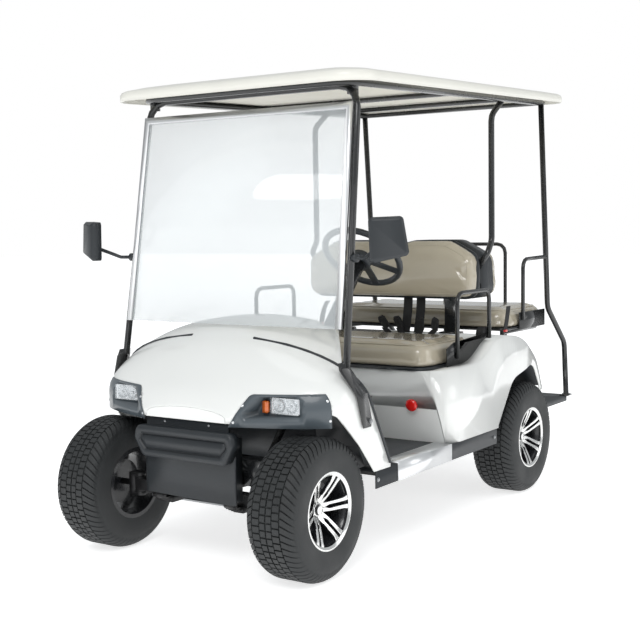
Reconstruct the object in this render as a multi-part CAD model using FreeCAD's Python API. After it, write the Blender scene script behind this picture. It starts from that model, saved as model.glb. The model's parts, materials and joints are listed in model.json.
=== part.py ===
import FreeCAD, Part
import math
import os

# A four-seat golf cart with a rear-facing back seat, in millimetres.
# X is across (the driver's left is +X), the front points to -Y, and +Z is up.
# Lengths along Y are measured from the middle of the wheelbase; the last step moves
# every piece so that the origin is on the floor at the middle of the cart's length.

# Running gear
WHEELBASE = 1670
FRONT_TRACK = 918
REAR_TRACK = 983
TYRE_DIAMETER = 514
TYRE_WIDTH = 204
TREAD_EDGE = 36
SHOULDER_DROP = 22
SHOULDER_INSET = 9
SIDEWALL_BULGE = 58
BEAD_INSET = 6
RIM_LIP_DIAMETER = 281
RIM_SEAT_DIAMETER = 262
RIM_WIDTH = 194
RIM_WALL = 6
TREAD_PITCHES = 60
SPOKE_PAIRS = 6
SPOKE_PAIR_WIDTH = 39
SPOKE_SLOT_WIDTH = 13
SPOKE_SLOT_START = 46
SPOKE_THICKNESS = 13
SPOKE_END_INSET = 7
HUB_RECESS = 58
HUB_THICKNESS = 14
HUB_RADIUS = 36
HUB_CAP_RADIUS = 20
HUB_CAP_HEIGHT = 17
FRONT_LEFT_TURN = 26
SPINDLE_BITE = 6
DRUM_RADIUS = 86
DRUM_WIDTH = 54
SPINDLE_RADIUS = 12
SHAFT_FIT = 0.05

# Clearances
SEAT_GAP = 0.3
LINK_CLEARANCE = 0.4

# Steering
KINGPIN_INSET = 122
KINGPIN_RADIUS = 11
EYE_HEIGHT = 58
EYE_RADIUS = 20
LUG_THICKNESS = 16
KNUCKLE_WEB = 18
STEERING_ARM = 84
TIE_ROD_DROP = 10
TIE_ROD_RADIUS = 6
ROD_EYE_RADIUS = 14
ROD_EYE_HEIGHT = 12
BALL_PIN_RADIUS = 7
PITMAN_X = 255
PITMAN_THICKNESS = 12
SECTOR_RADIUS = 9
GEARBOX_WIDTH = 112
GEARBOX_Z = 318

# Frame and axles
RAIL_X = 170
RAIL_WIDTH = 40
RAIL_HEIGHT = 51
RAIL_Z = 290
REAR_RAIL_RISE = 116
FRAME_FRONT_Y = -928
FRAME_REAR_Y = 1080
FRONT_BEAM = 42
REAR_AXLE_RADIUS = 34
HOUSING_X = -40
SNOUT_LENGTH = 130
MOTOR_LIFT = 20
MOTOR_RADIUS = 78
MOTOR_LENGTH = 232
SPRING_WIDTH = 45
LEAF_THICKNESS = 7
LEAF_COUNT = 4
LEAF_BITE = 0.6
SPRING_SEAT_GAP = 0.6
FRONT_SPRING_REACH = (76, 260)
FRONT_SPRING_RISE = 34
REAR_SPRING_X = 300
REAR_SPRING_REACH = (300, 230)
REAR_SPRING_RISE = 40
SPRING_EYE_RADIUS = 12

# Body shells
SKIN = 4
BODY_HALF_WIDTH = 585
FLOOR_Z = 345
FLOOR_HALF_WIDTH = 498
MAT_THICKNESS = 9
SILL_BOTTOM_Z = 288
SILL_TOP_Z = 354
SILL_INNER_X = 579.7
SILL_OUTER_X = 584
HOOD_EDGE_Z = 555
SEAT_POD_FRONT_Y = -13
SEAT_WELL_Z = 655
SEAT_WELL_REAR_Y = 478
BODY_REAR_Y = 1062

# Seats
CUSHION_HALF_WIDTH = 497
FRONT_CUSHION_FRONT_Y = -22
FRONT_CUSHION_REAR_Y = 462
FRONT_CUSHION_THICKNESS = 106
SEAT_BASE_THICKNESS = 12
REAR_CUSHION_FRONT_Y = 775
REAR_CUSHION_REAR_Y = 1262
REAR_CUSHION_BOTTOM_Z = 768
REAR_CUSHION_THICKNESS = 98
BACKREST_HALF_WIDTH = 446
BACKREST_BOTTOM_Z = 916
BACKREST_TOP_Z = 1186
LID_HINGE_Y = -20
LID_HINGE_RADIUS = 5

# Roof and its frame
STRUT_RADIUS = 13.5
HOOP_RADIUS = 9.5
MITRE_ANGLE = 30
TUBE_SEAM_TURN = 20
ROOF_HALF_WIDTH = 602
ROOF_FRONT_Y = -690
ROOF_REAR_Y = 1236
ROOF_FRONT_Z = 1768
ROOF_REAR_Z = 1836
ROOF_CORNER = 130
RAIL_HALF_WIDTH = 500

# Windscreen
GLASS_THICKNESS = 5
SCREEN_BOTTOM_Z = 885
SCREEN_TOP_Z = 1706
SCREEN_BOTTOM_Y = -688
SCREEN_TOP_Y = -566
SCREEN_BOTTOM_HALF = 505
SCREEN_TOP_HALF = 490
CHANNEL_WIDTH = 24
CHANNEL_DEPTH = 16

# Steering wheel
WHEEL_CENTRE = (285, -165, 1129)
WHEEL_TILT = 43
WHEEL_OUTER_RADIUS = 175
WHEEL_RIM_RADIUS = 13
WHEEL_RUNS = 32
GRIP_SIDES = 12
WHEEL_SPOKES = (30, 90, 150)
COLUMN_HOLE_RADIUS = 34

# Sills
SILL_WHEEL_CLEARANCE = 8
ROCKER_REAR_Y = 466

# Foot plate
PLATE_Z = 366
PLATE_THICKNESS = 6
PLATE_HALF_WIDTH = 505
PLATE_FRONT_Y = 1092
PLATE_REAR_Y = 1512
PAD_HALF_WIDTH = 440
PAD_RISE = 2
PAD_GAP = 14
HOOP_Y = 1440
GRAB_HALF_WIDTH = 178
GRAB_TOP_Z = 1150

# Places worked out from the sizes above
AXLE_Z = TYRE_DIAMETER / 2
FRONT_AXLE_Y = -WHEELBASE / 2
REAR_AXLE_Y = WHEELBASE / 2
FRONT_END_Y = FRONT_AXLE_Y - TYRE_DIAMETER / 2
KINGPIN_X = FRONT_TRACK / 2 - KINGPIN_INSET
ROCKER_FRONT_Y = FRONT_AXLE_Y + TYRE_DIAMETER / 2 + SILL_WHEEL_CLEARANCE
ORIGIN_Y = (FRONT_END_Y + PLATE_REAR_Y) / 2
ROOF_SLOPE = (ROOF_REAR_Z - ROOF_FRONT_Z) / (ROOF_REAR_Y - ROOF_FRONT_Y)
ARM_END_Y = FRONT_AXLE_Y + STEERING_ARM
RAIL_TOP_Z = RAIL_Z + RAIL_HEIGHT
REAR_RAIL_Z = RAIL_Z + REAR_RAIL_RISE
DAMPER_TOP_Z = REAR_RAIL_Z + 36
EYE_BOTTOM_Z = AXLE_Z - EYE_HEIGHT / 2 - SEAT_GAP
TIE_ROD_Z = EYE_BOTTOM_Z - LUG_THICKNESS - TIE_ROD_DROP - ROD_EYE_HEIGHT / 2
CUSHION_BOTTOM_Z = SEAT_WELL_Z + SEAT_BASE_THICKNESS + 2 * SEAT_GAP


# Basic shapes

def vec(x, y, z):
    return FreeCAD.Vector(x, y, z)


def box(x0, x1, y0, y1, z0, z1):
    return Part.makeBox(x1 - x0, y1 - y0, z1 - z0, vec(x0, y0, z0))


def rod(start, end, radius):
    start, end = FreeCAD.Vector(start), FreeCAD.Vector(end)
    return Part.makeCylinder(radius, (end - start).Length, start, end - start)


def corner_edges(before, corner, after, radius):
    """The two tangent points and the arc that rounds one corner of a path."""
    back = (before - corner).normalize()
    ahead = (after - corner).normalize()
    half = back.getAngle(ahead) / 2
    reach = radius / math.tan(half)
    start = corner + back * reach
    end = corner + ahead * reach
    middle = (back + ahead).normalize()
    crown = corner + middle * (radius / math.sin(half) - radius)
    return start, end, Part.Arc(start, crown, end).toShape()


def path_wire(points, radii, closed):
    """Straight runs joined by tangent arcs."""
    count = len(points)
    edges = []
    cursor = None
    first = None
    for index in range(count):
        is_end = not closed and index in (0, count - 1)
        if is_end or radii[index] == 0:
            start = end = points[index]
            arc = None
        else:
            start, end, arc = corner_edges(
                points[index - 1], points[index], points[(index + 1) % count], radii[index])
        if cursor is not None and (start - cursor).Length > 1e-6:
            edges.append(Part.makeLine(cursor, start))
        if first is None:
            first = start
        if arc:
            edges.append(arc)
        cursor = end
    if closed and (first - cursor).Length > 1e-6:
        edges.append(Part.makeLine(cursor, first))
    return Part.Wire(edges)


NORMALS = {"yz": vec(1, 0, 0), "xz": vec(0, 1, 0), "xy": vec(0, 0, 1)}


def in_plane(plane, a, b, offset):
    """The point (a, b) of a plane that lies an offset away from the origin."""
    if plane == "yz":
        return vec(offset, a, b)
    if plane == "xz":
        return vec(a, offset, b)
    return vec(a, b, offset)


def prism(plane, outline, low, high):
    """An outline of (a, b, corner radius), drawn in a plane and pulled from low to high."""
    points = [in_plane(plane, corner[0], corner[1], low) for corner in outline]
    wire = path_wire(points, [corner[2] for corner in outline], True)
    return Part.Face(wire).extrude(NORMALS[plane] * (high - low))


def tube(route, radius):
    """A round bar along a route of (x, y, z, bend radius), each bend made of short mitred runs.

    The bar's seam is turned away from the sides of its bends, where two runs would share a sliver of an edge.
    """
    points = [vec(*stop[:3]) for stop in route]
    line = [points[0]]
    for index in range(1, len(points) - 1):
        before, corner, after = points[index - 1:index + 2]
        arc = corner_edges(before, corner, after, route[index][3])[2]
        bend = math.degrees((corner - before).getAngle(after - corner))
        line += arc.discretize(max(2, round(bend / MITRE_ANGLE)) + 1)
    line.append(points[-1])
    ring = Part.Wire(Part.makeCircle(radius, line[0], line[1] - line[0]))
    ring.rotate(line[0], line[1] - line[0], TUBE_SEAM_TURN)
    return Part.makePolygon(line).makePipeShell([ring], True, False, 1)


def strip(plane, line, thickness, low, high):
    """A bent sheet: a line of (a, b) points given a thickness on its left side."""
    points = [vec(a, b, 0) for a, b in line]
    offsets = []
    for index, point in enumerate(points):
        before = points[max(index - 1, 0)]
        after = points[min(index + 1, len(points) - 1)]
        incoming = (point - before) if index else (after - point)
        outgoing = (after - point) if index < len(points) - 1 else (point - before)
        turn = incoming.normalize() + outgoing.normalize()
        normal = vec(-turn.y, turn.x, 0).normalize()
        stretch = thickness / max(normal.dot(vec(-incoming.y, incoming.x, 0)), 0.2)
        offsets.append(point + normal * stretch)
    outline = [(p.x, p.y, 0) for p in points + offsets[::-1]]
    return prism(plane, outline, low, high)


def revolve_x(outline, centre_x, y, z):
    """An outline of (x from the centre, radius, corner radius), turned about the X axis."""
    points = [vec(centre_x + corner[0], y, z + corner[1]) for corner in outline]
    wire = path_wire(points, [corner[2] for corner in outline], True)
    return Part.Face(wire).revolve(vec(centre_x, y, z), vec(1, 0, 0), 360)


def ring_of_flats(outline, sides, centre_x, y, z):
    """A ring of flat facets round the X axis, from an outline of (x from the centre, radius)."""
    rings = []
    for x, radius in outline:
        turns = [2 * math.pi * side / sides for side in range(sides)]
        rings.append([vec(centre_x + x, y + radius * math.sin(turn), z + radius * math.cos(turn)) for turn in turns])
    faces = []
    for index, ring in enumerate(rings):
        following = rings[(index + 1) % len(rings)]
        for side in range(sides):
            ahead = (side + 1) % sides
            corners = [ring[side], ring[ahead], following[ahead], following[side], ring[side]]
            faces.append(Part.Face(Part.makePolygon(corners)))
    shell = Part.makeShell(faces)
    shell.sewShape()
    return Part.makeSolid(shell)


def mirrored(shape):
    return shape.mirror(vec(0, 0, 0), vec(1, 0, 0))


def both_sides(shape):
    return [shape, mirrored(shape)]


def fuse(shapes):
    result = shapes[0]
    if len(shapes) > 1:
        result = result.fuse(shapes[1:])
    return result.removeSplitter()


def cut(shape, tools):
    return shape.cut(tools).removeSplitter()


def largest_piece(shape):
    return max(shape.Solids, key=lambda solid: solid.Volume)


def line_at(x, start, end):
    """The second coordinate at x on the straight line between two (a, b) points."""
    share = (x - start[0]) / (end[0] - start[0])
    return start[1] + share * (end[1] - start[1])


# Wheels

def tyre(centre_x, axle_y):
    """A ring of flats, one for each tread pitch, with cut-back shoulders and bulged sidewalls."""
    half = TYRE_WIDTH / 2
    seat = RIM_SEAT_DIAMETER / 2
    bead = RIM_WIDTH / 2 - RIM_WALL - BEAD_INSET
    outer = TYRE_DIAMETER / 2
    seat_corner = seat / math.cos(math.pi / TREAD_PITCHES)
    right = [(bead, seat_corner), (half, seat + SIDEWALL_BULGE), (half - SHOULDER_INSET, outer - SHOULDER_DROP),
             (half - TREAD_EDGE, outer)]
    left = [(-x, radius) for x, radius in reversed(right)]
    return ring_of_flats(right + left, TREAD_PITCHES, centre_x, axle_y, AXLE_Z)


def rim_barrel(centre_x, axle_y):
    half = RIM_WIDTH / 2
    lip = RIM_LIP_DIAMETER / 2
    seat = RIM_SEAT_DIAMETER / 2
    inner = seat - RIM_WALL
    outline = [
        (-half, lip, 0), (-half, inner, 0), (half, inner, 0), (half, lip, 0),
        (half - RIM_WALL, lip, 0), (half - RIM_WALL, seat, 0), (-half + RIM_WALL, seat, 0),
        (-half + RIM_WALL, lip, 0)]
    return revolve_x(outline, centre_x, axle_y, AXLE_Z)


def spoke_pair(side):
    """A plate that leans out from the hub to the barrel, split in two by a slot. It points up from the axle."""
    half = RIM_WIDTH / 2
    wall = RIM_SEAT_DIAMETER / 2 - RIM_WALL + 1
    hub_x, rim_x = side * (half - HUB_RECESS), side * (half - SPOKE_END_INSET)
    back = -side * SPOKE_THICKNESS
    outline = [(hub_x, 0, 0), (rim_x, wall, 0), (rim_x + back, wall, 0), (hub_x + back, 0, 0)]
    plate = prism("xz", outline, -SPOKE_PAIR_WIDTH / 2, SPOKE_PAIR_WIDTH / 2)
    slot = box(-half, half, -SPOKE_SLOT_WIDTH / 2, SPOKE_SLOT_WIDTH / 2, SPOKE_SLOT_START, wall - 1)
    return plate.cut(slot)


def rim(centre_x, axle_y, side, turn):
    """Barrel, split spokes, hub, cap and brake drum in one, with the bore that runs on the spindle."""
    hub_front = centre_x + side * (RIM_WIDTH / 2 - HUB_RECESS)
    hub_back = hub_front - side * HUB_THICKNESS
    drum_back = hub_back - side * DRUM_WIDTH

    def disc(start_x, end_x, radius):
        return rod((start_x, axle_y, AXLE_Z), (end_x, axle_y, AXLE_Z), radius)

    spokes = []
    for pair in range(SPOKE_PAIRS):
        spoke = spoke_pair(side)
        spoke.rotate(vec(0, 0, 0), vec(1, 0, 0), pair * 360 / SPOKE_PAIRS - turn)
        spoke.translate(vec(centre_x, axle_y, AXLE_Z))
        spokes.append(spoke)
    hub = disc(hub_back, hub_front, HUB_RADIUS)
    cap = disc(hub_back, hub_front + side * HUB_CAP_HEIGHT, HUB_CAP_RADIUS)
    drum = disc(drum_back, hub_back, DRUM_RADIUS)
    bore = disc(drum_back - side, hub_back + side * SPINDLE_BITE, SPINDLE_RADIUS + SHAFT_FIT)
    return cut(fuse([rim_barrel(centre_x, axle_y), hub, cap, drum] + spokes), [bore])


def wheel_places():
    """Each wheel's name, centre, axle, the side that its face points to and how far it is turned."""
    return [
        ("front_left", FRONT_TRACK / 2, FRONT_AXLE_Y, 1, FRONT_LEFT_TURN),
        ("front_right", -FRONT_TRACK / 2, FRONT_AXLE_Y, -1, 0),
        ("rear_left", REAR_TRACK / 2, REAR_AXLE_Y, 1, 0),
        ("rear_right", -REAR_TRACK / 2, REAR_AXLE_Y, -1, 0)]


def spindle_end(track):
    """How far out a spindle reaches inside the hub's bore."""
    return track / 2 + RIM_WIDTH / 2 - HUB_RECESS - HUB_THICKNESS


# Axles, springs and steering linkage

def front_axle():
    """A beam with an upright eye at each end for the kingpin."""
    half = FRONT_BEAM / 2
    beam = box(-KINGPIN_X, KINGPIN_X, FRONT_AXLE_Y - half, FRONT_AXLE_Y + half, AXLE_Z - half, AXLE_Z + half)
    parts = [beam]
    bores = []
    for side in (-1, 1):
        foot = (side * KINGPIN_X, FRONT_AXLE_Y, AXLE_Z - EYE_HEIGHT / 2)
        head = (side * KINGPIN_X, FRONT_AXLE_Y, AXLE_Z + EYE_HEIGHT / 2)
        parts.append(rod(foot, head, EYE_RADIUS + 1))
        bores.append(rod((foot[0], foot[1], foot[2] - 5), (head[0], head[1], head[2] + 5),
                         KINGPIN_RADIUS + SHAFT_FIT))
    return cut(fuse(parts), bores)


def lever(x, start_y, end_y, radius, z, thickness):
    """A flat lever along Y with round ends."""
    low_y, high_y = sorted((start_y, end_y))
    return fuse([box(x - radius, x + radius, low_y, high_y, z, z + thickness),
                 Part.makeCylinder(radius, thickness, vec(x, start_y, z)),
                 Part.makeCylinder(radius, thickness, vec(x, end_y, z))])


def knuckle(side):
    """Kingpin, the two lugs that hold it, the spindle and the steering arm."""
    x = side * KINGPIN_X
    top = AXLE_Z + EYE_HEIGHT / 2 + SEAT_GAP
    bottom = AXLE_Z - EYE_HEIGHT / 2 - SEAT_GAP
    web_in = x + side * (EYE_RADIUS + 4)
    web_out = web_in + side * KNUCKLE_WEB
    pin = rod((x, FRONT_AXLE_Y, bottom - LUG_THICKNESS), (x, FRONT_AXLE_Y, top + LUG_THICKNESS), KINGPIN_RADIUS)
    low_x, high_x = sorted((x, web_out))
    lugs = []
    for z in (bottom - LUG_THICKNESS, top):
        bar = box(low_x, high_x, FRONT_AXLE_Y - EYE_RADIUS, FRONT_AXLE_Y + EYE_RADIUS, z, z + LUG_THICKNESS)
        lugs += [bar, Part.makeCylinder(EYE_RADIUS, LUG_THICKNESS, vec(x, FRONT_AXLE_Y, z))]
    low_x, high_x = sorted((web_in, web_out))
    web = box(low_x, high_x, FRONT_AXLE_Y - EYE_RADIUS, FRONT_AXLE_Y + EYE_RADIUS,
              bottom - LUG_THICKNESS, top + LUG_THICKNESS)
    spindle = rod((web_in, FRONT_AXLE_Y, AXLE_Z), (side * spindle_end(FRONT_TRACK), FRONT_AXLE_Y, AXLE_Z),
                  SPINDLE_RADIUS)
    arm = lever(x, FRONT_AXLE_Y, ARM_END_Y, 11, bottom - LUG_THICKNESS, 12)
    ball_pin = rod((x, ARM_END_Y, bottom - LUG_THICKNESS + 2),
                   (x, ARM_END_Y, TIE_ROD_Z - ROD_EYE_HEIGHT / 2 - 2), BALL_PIN_RADIUS)
    return fuse([pin] + lugs + [web, spindle, arm, ball_pin])


def rod_eye(x, clearance):
    low = TIE_ROD_Z - ROD_EYE_HEIGHT / 2
    ring = Part.makeCylinder(ROD_EYE_RADIUS, ROD_EYE_HEIGHT, vec(x, ARM_END_Y, low))
    bore = Part.makeCylinder(BALL_PIN_RADIUS + clearance, ROD_EYE_HEIGHT + 4, vec(x, ARM_END_Y, low - 2))
    return ring, bore


def tie_rod():
    """The bar between the two steering arms, with an eye over each ball pin."""
    reach = KINGPIN_X - BALL_PIN_RADIUS - 2
    bar = rod((-reach, ARM_END_Y, TIE_ROD_Z), (reach, ARM_END_Y, TIE_ROD_Z), TIE_ROD_RADIUS)
    eyes = [rod_eye(KINGPIN_X, SHAFT_FIT), rod_eye(-KINGPIN_X, LINK_CLEARANCE), rod_eye(PITMAN_X, LINK_CLEARANCE)]
    return cut(fuse([bar] + [ring for ring, _ in eyes]), [bore for _, bore in eyes])


def pitman_arm():
    """The arm under the steering gearbox that swings the tie rod."""
    z = GEARBOX_Z - PITMAN_THICKNESS - SEAT_GAP
    arm = lever(PITMAN_X, FRONT_AXLE_Y, ARM_END_Y, 14, z, PITMAN_THICKNESS)
    pin = rod((PITMAN_X, ARM_END_Y, z + 2), (PITMAN_X, ARM_END_Y, TIE_ROD_Z - ROD_EYE_HEIGHT / 2 - 2), BALL_PIN_RADIUS)
    bore = rod((PITMAN_X, FRONT_AXLE_Y, z - 1), (PITMAN_X, FRONT_AXLE_Y, GEARBOX_Z), SECTOR_RADIUS + SHAFT_FIT)
    return cut(fuse([arm, pin]), [bore])


def leaf(x, axle_y, reach, low, rise):
    """One leaf: a flat strip bowed through three points."""
    edge = x - SPRING_WIDTH / 2
    start = vec(edge, axle_y - reach[0], low + rise[0])
    middle = vec(edge, axle_y, low)
    end = vec(edge, axle_y + reach[1], low + rise[1])
    lift = vec(0, 0, LEAF_THICKNESS)
    lower = Part.Arc(start, middle, end).toShape()
    upper = Part.Arc(start + lift, middle + lift, end + lift).toShape()
    wire = Part.Wire([lower, Part.makeLine(end, end + lift), upper, Part.makeLine(start + lift, start)])
    return Part.Face(wire).extrude(vec(SPRING_WIDTH, 0, 0))


def spring_eye(axle_y, reach, seat_z, rise, end):
    """Height and place of the eye at the front (0) or rear (1) end of a spring."""
    y = axle_y + (reach[1] if end else -reach[0])
    share = (reach[end] / max(reach)) ** 2
    return y, seat_z + rise * share + LEAF_THICKNESS / 2 + SPRING_EYE_RADIUS


def leaf_pack(x, axle_y, reach, seat_z, rise):
    """Stacked leaves under the axle, with a wrapped eye at each end."""
    parts = []
    longest = max(reach)
    for layer in range(LEAF_COUNT):
        share = 1 - 0.2 * layer
        span = [length * share for length in reach]
        lifts = [rise * (length / longest) ** 2 for length in span]
        parts.append(leaf(x, axle_y, span, seat_z - layer * (LEAF_THICKNESS - LEAF_BITE), lifts))
    for end in (0, 1):
        y, z = spring_eye(axle_y, reach, seat_z, rise, end)
        parts.append(rod((x - SPRING_WIDTH / 2, y, z), (x + SPRING_WIDTH / 2, y, z), SPRING_EYE_RADIUS))
    return fuse(parts)


FRONT_SPRING = (RAIL_X, FRONT_AXLE_Y, FRONT_SPRING_REACH,
                AXLE_Z - FRONT_BEAM / 2 - LEAF_THICKNESS - SPRING_SEAT_GAP, FRONT_SPRING_RISE)
REAR_SPRING = (REAR_SPRING_X, REAR_AXLE_Y, REAR_SPRING_REACH,
               AXLE_Z - REAR_AXLE_RADIUS - LEAF_THICKNESS - SPRING_SEAT_GAP, REAR_SPRING_RISE)


def damper():
    """A damper in front of the rear axle, with a foot that reaches the axle tube."""
    x = RAIL_X + RAIL_WIDTH / 2 + 26
    y = REAR_AXLE_Y - 68
    lug = box(x - 8, x + 8, y - 16, REAR_AXLE_Y - REAR_AXLE_RADIUS - SEAT_GAP, AXLE_Z - 14, AXLE_Z + 4)
    return fuse([rod((x, y, AXLE_Z - 14), (x, y, AXLE_Z + 90), 15), rod((x, y, AXLE_Z + 90), (x, y, DAMPER_TOP_Z), 21),
                 lug])


def suspension():
    """Leaf springs under both axles and a damper on each side of the rear one."""
    return both_sides(leaf_pack(*FRONT_SPRING)) + both_sides(leaf_pack(*REAR_SPRING)) + both_sides(damper())


def rear_axle():
    """The live axle: tube, differential housing and a stub shaft at each end."""
    hub_back = spindle_end(REAR_TRACK) - DRUM_WIDTH
    tube_end = hub_back - 6
    axle = rod((-tube_end, REAR_AXLE_Y, AXLE_Z), (tube_end, REAR_AXLE_Y, AXLE_Z), REAR_AXLE_RADIUS)
    stub_end = spindle_end(REAR_TRACK)
    stub = rod((-stub_end, REAR_AXLE_Y, AXLE_Z), (stub_end, REAR_AXLE_Y, AXLE_Z), SPINDLE_RADIUS)
    plates = [rod((side * (tube_end - 10), REAR_AXLE_Y, AXLE_Z), (side * (tube_end - 2), REAR_AXLE_Y, AXLE_Z), 76)
              for side in (-1, 1)]
    housing = revolve_x([(-74, 0, 0), (-74, 50, 0), (-30, 92, 0), (30, 92, 0), (74, 50, 0), (74, 0, 0)],
                        HOUSING_X, REAR_AXLE_Y, AXLE_Z)
    snout = rod((HOUSING_X, REAR_AXLE_Y - SNOUT_LENGTH, AXLE_Z + MOTOR_LIFT),
                (HOUSING_X, REAR_AXLE_Y, AXLE_Z + MOTOR_LIFT), 52)
    return fuse([axle, stub, housing, snout] + plates)


def drive_motor():
    """The electric motor, flanged to the front of the axle housing."""
    front = REAR_AXLE_Y - SNOUT_LENGTH - SEAT_GAP
    flange_back = front - 18
    z = AXLE_Z + MOTOR_LIFT
    return fuse([rod((HOUSING_X, front, z), (HOUSING_X, flange_back, z), MOTOR_RADIUS + 6),
                 rod((HOUSING_X, flange_back, z), (HOUSING_X, flange_back - MOTOR_LENGTH, z), MOTOR_RADIUS)])


def battery_block():
    """The battery set under the front seat, on the frame's cradle."""
    return box(-350, 350, 70, 420, RAIL_TOP_Z, 596)


# Frame

def chassis_frame():
    """Two long rails, cross members and the outriggers that carry the sills."""
    rails = []
    for side in (-1, 1):
        low_x, high_x = sorted((side * (RAIL_X - RAIL_WIDTH / 2), side * (RAIL_X + RAIL_WIDTH / 2)))
        outline = [(FRAME_FRONT_Y, RAIL_Z + 20, 0), (-520, RAIL_Z, 0), (560, RAIL_Z, 0), (640, REAR_RAIL_Z, 0),
                   (FRAME_REAR_Y, REAR_RAIL_Z, 0), (FRAME_REAR_Y, REAR_RAIL_Z + RAIL_HEIGHT, 0),
                   (610, REAR_RAIL_Z + RAIL_HEIGHT, 0), (530, RAIL_TOP_Z, 0), (-520, RAIL_TOP_Z, 0),
                   (FRAME_FRONT_Y, RAIL_TOP_Z + 20, 0)]
        rails.append(prism("yz", outline, low_x, high_x))
    crosses = [box(-RAIL_X, RAIL_X, y, y + 40, RAIL_Z + 10, RAIL_TOP_Z - 6) for y in (-505, -20)]
    crosses.append(box(-RAIL_X, RAIL_X, FRAME_FRONT_Y, FRAME_FRONT_Y + 30, RAIL_Z + 25, RAIL_TOP_Z + 15))
    crosses.append(box(-420, 420, FRAME_REAR_Y - 40, FRAME_REAR_Y, REAR_RAIL_Z + 3, REAR_RAIL_Z + RAIL_HEIGHT - 3))
    arms = [box(-SILL_INNER_X, SILL_INNER_X, y, y + 40, RAIL_Z + 14, RAIL_TOP_Z) for y in (-440, 62, 405)]
    hangers = []
    for x, axle_y, reach, seat_z, rise in (FRONT_SPRING, REAR_SPRING):
        for end in (0, 1):
            y, z = spring_eye(axle_y, reach, seat_z, rise, end)
            top = REAR_RAIL_Z + 20 if y > REAR_AXLE_Y else RAIL_Z + 30
            hangers += both_sides(box(x - 12, x + 12, y - 14, y + 14, z + SPRING_EYE_RADIUS + SEAT_GAP, top))
    y = spring_eye(*REAR_SPRING[1:], 0)[0]
    hangers += both_sides(box(RAIL_X, REAR_SPRING_X + 20, y - 20, y + 20, RAIL_Z + 20, RAIL_TOP_Z - 4))
    stub_x = RAIL_X + RAIL_WIDTH / 2
    hangers += both_sides(box(stub_x - 5, stub_x + 50, REAR_AXLE_Y - 90, REAR_AXLE_Y - 46, DAMPER_TOP_Z + SEAT_GAP,
                              DAMPER_TOP_Z + 14))
    return fuse(rails + crosses + arms + hangers)


# Body

COWL_STATIONS = [
    # y, half width, height of the side's top, height of the crown
    (-955, 190, 572, 606), (-915, 295, 588, 672), (-850, 455, 598, 742), (-770, 550, 606, 818),
    (-670, 580, 618, 878), (-540, 586, 646, 906), (-415, 586, 680, 908)]
COWL_SKIRT_Z = SILL_TOP_Z + SEAT_GAP
COWL_ARCH = [(-1200, HOOD_EDGE_Z, 0), (-900, HOOD_EDGE_Z, 0), (-828, 574, 40), (-786, 598, 30),
             (-581, COWL_SKIRT_Z, 0), (-581, 200, 0), (-1200, 200, 0)]
DOOR_TOP = (-727, 871)
DOOR_BOTTOM = (-470, 366)
COWL_REAR_EDGE = [(-620, -727), (-520, -690), (-330, -425), (330, -425), (520, -690), (620, -727)]
COWL_REAR_RADII = [0, 90, 120, 120, 90, 0]


def hood_section(y, half_width, side_z, crown_z, base_z):
    """One cross-section of the cowl: straight sides under half an ellipse."""
    corners = [vec(-half_width, y, side_z), vec(-half_width, y, base_z), vec(half_width, y, base_z),
               vec(half_width, y, side_z)]
    ellipse = Part.Ellipse(vec(half_width, y, side_z), vec(0, y, crown_z), vec(0, y, side_z))
    crown = Part.Arc(ellipse, 0, math.pi).toShape()
    lines = [Part.makeLine(corners[index], corners[index + 1]) for index in range(3)]
    return Part.Wire(Part.__sortEdges__(lines + [crown]))


def cowl_block(inset, base_z):
    sections = []
    for y, half_width, side_z, crown_z in COWL_STATIONS:
        sections.append(hood_section(y, half_width - inset, side_z - inset / 2, crown_z - inset, base_z))
    return Part.makeLoft(sections, True, inset > 0)


def behind_cowl(shift):
    """Everything behind the curved rear edge of the cowl's top."""
    line = [(x, y + shift, radius) for (x, y), radius in zip(COWL_REAR_EDGE, COWL_REAR_RADII)]
    return prism("xy", line + [(620, 200, 0), (-620, 200, 0)], 300, 1000)


def bezel_outline(grow):
    """The lamp surround seen from the front."""
    low = HOOD_EDGE_Z - 12 - grow
    return [(198 - grow, low, 0), (548 + grow, low, 0), (528 + grow, 664 + grow, 16), (262 - grow, 660 + grow, 22)]


LAMP_BACK_Y = -846
BEZEL_BACK_Y = -790


def front_cowl():
    """The hood, wings and side panels as one thin shell, cut for arches, lamps and doors."""
    shell = cowl_block(0, COWL_SKIRT_Z).cut(cowl_block(SKIN, COWL_SKIRT_Z - 50))
    arch = prism("yz", COWL_ARCH, -700, 700)
    door_line = [(DOOR_TOP[0], DOOR_TOP[1], 0), (DOOR_BOTTOM[0], DOOR_BOTTOM[1], 0), (DOOR_BOTTOM[0], 200, 0),
                 (150, 200, 0), (150, 1000, 0), (DOOR_TOP[0], 1000, 0)]
    door = prism("yz", door_line, -700, 700).common(behind_cowl(0))
    lamps = both_sides(prism("xz", bezel_outline(-4), -1000, BEZEL_BACK_Y))
    column = rod(column_axis(200), column_axis(600), COLUMN_HOLE_RADIUS)
    return shell.cut([arch, door, column] + lamps)


def lamp_pocket():
    outline = [(232, 574, 14), (455, 584, 14), (447, 656, 10), (292, 651, 14)]
    return prism("xz", outline, -1000, LAMP_BACK_Y)


def headlamp_bezel():
    """A moulded surround that caps the hood's corner, with a deep pocket for the lamps."""
    cap = cowl_block(-3, COWL_SKIRT_Z)
    flange = prism("xz", bezel_outline(0), -1000, BEZEL_BACK_Y).common(cap).cut(cowl_block(-SEAT_GAP, COWL_SKIRT_Z))
    plug = prism("xz", bezel_outline(-4 - SEAT_GAP), -1000, BEZEL_BACK_Y - SEAT_GAP).common(cap)
    return fuse([flange, plug]).cut(lamp_pocket())


def lamp_lens(x0, x1, z0, z1, depth):
    return prism("xz", [(x0, z0, 6), (x1, z0, 6), (x1, z1, 6), (x0, z1, 6)], LAMP_BACK_Y - depth, LAMP_BACK_Y)


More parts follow.
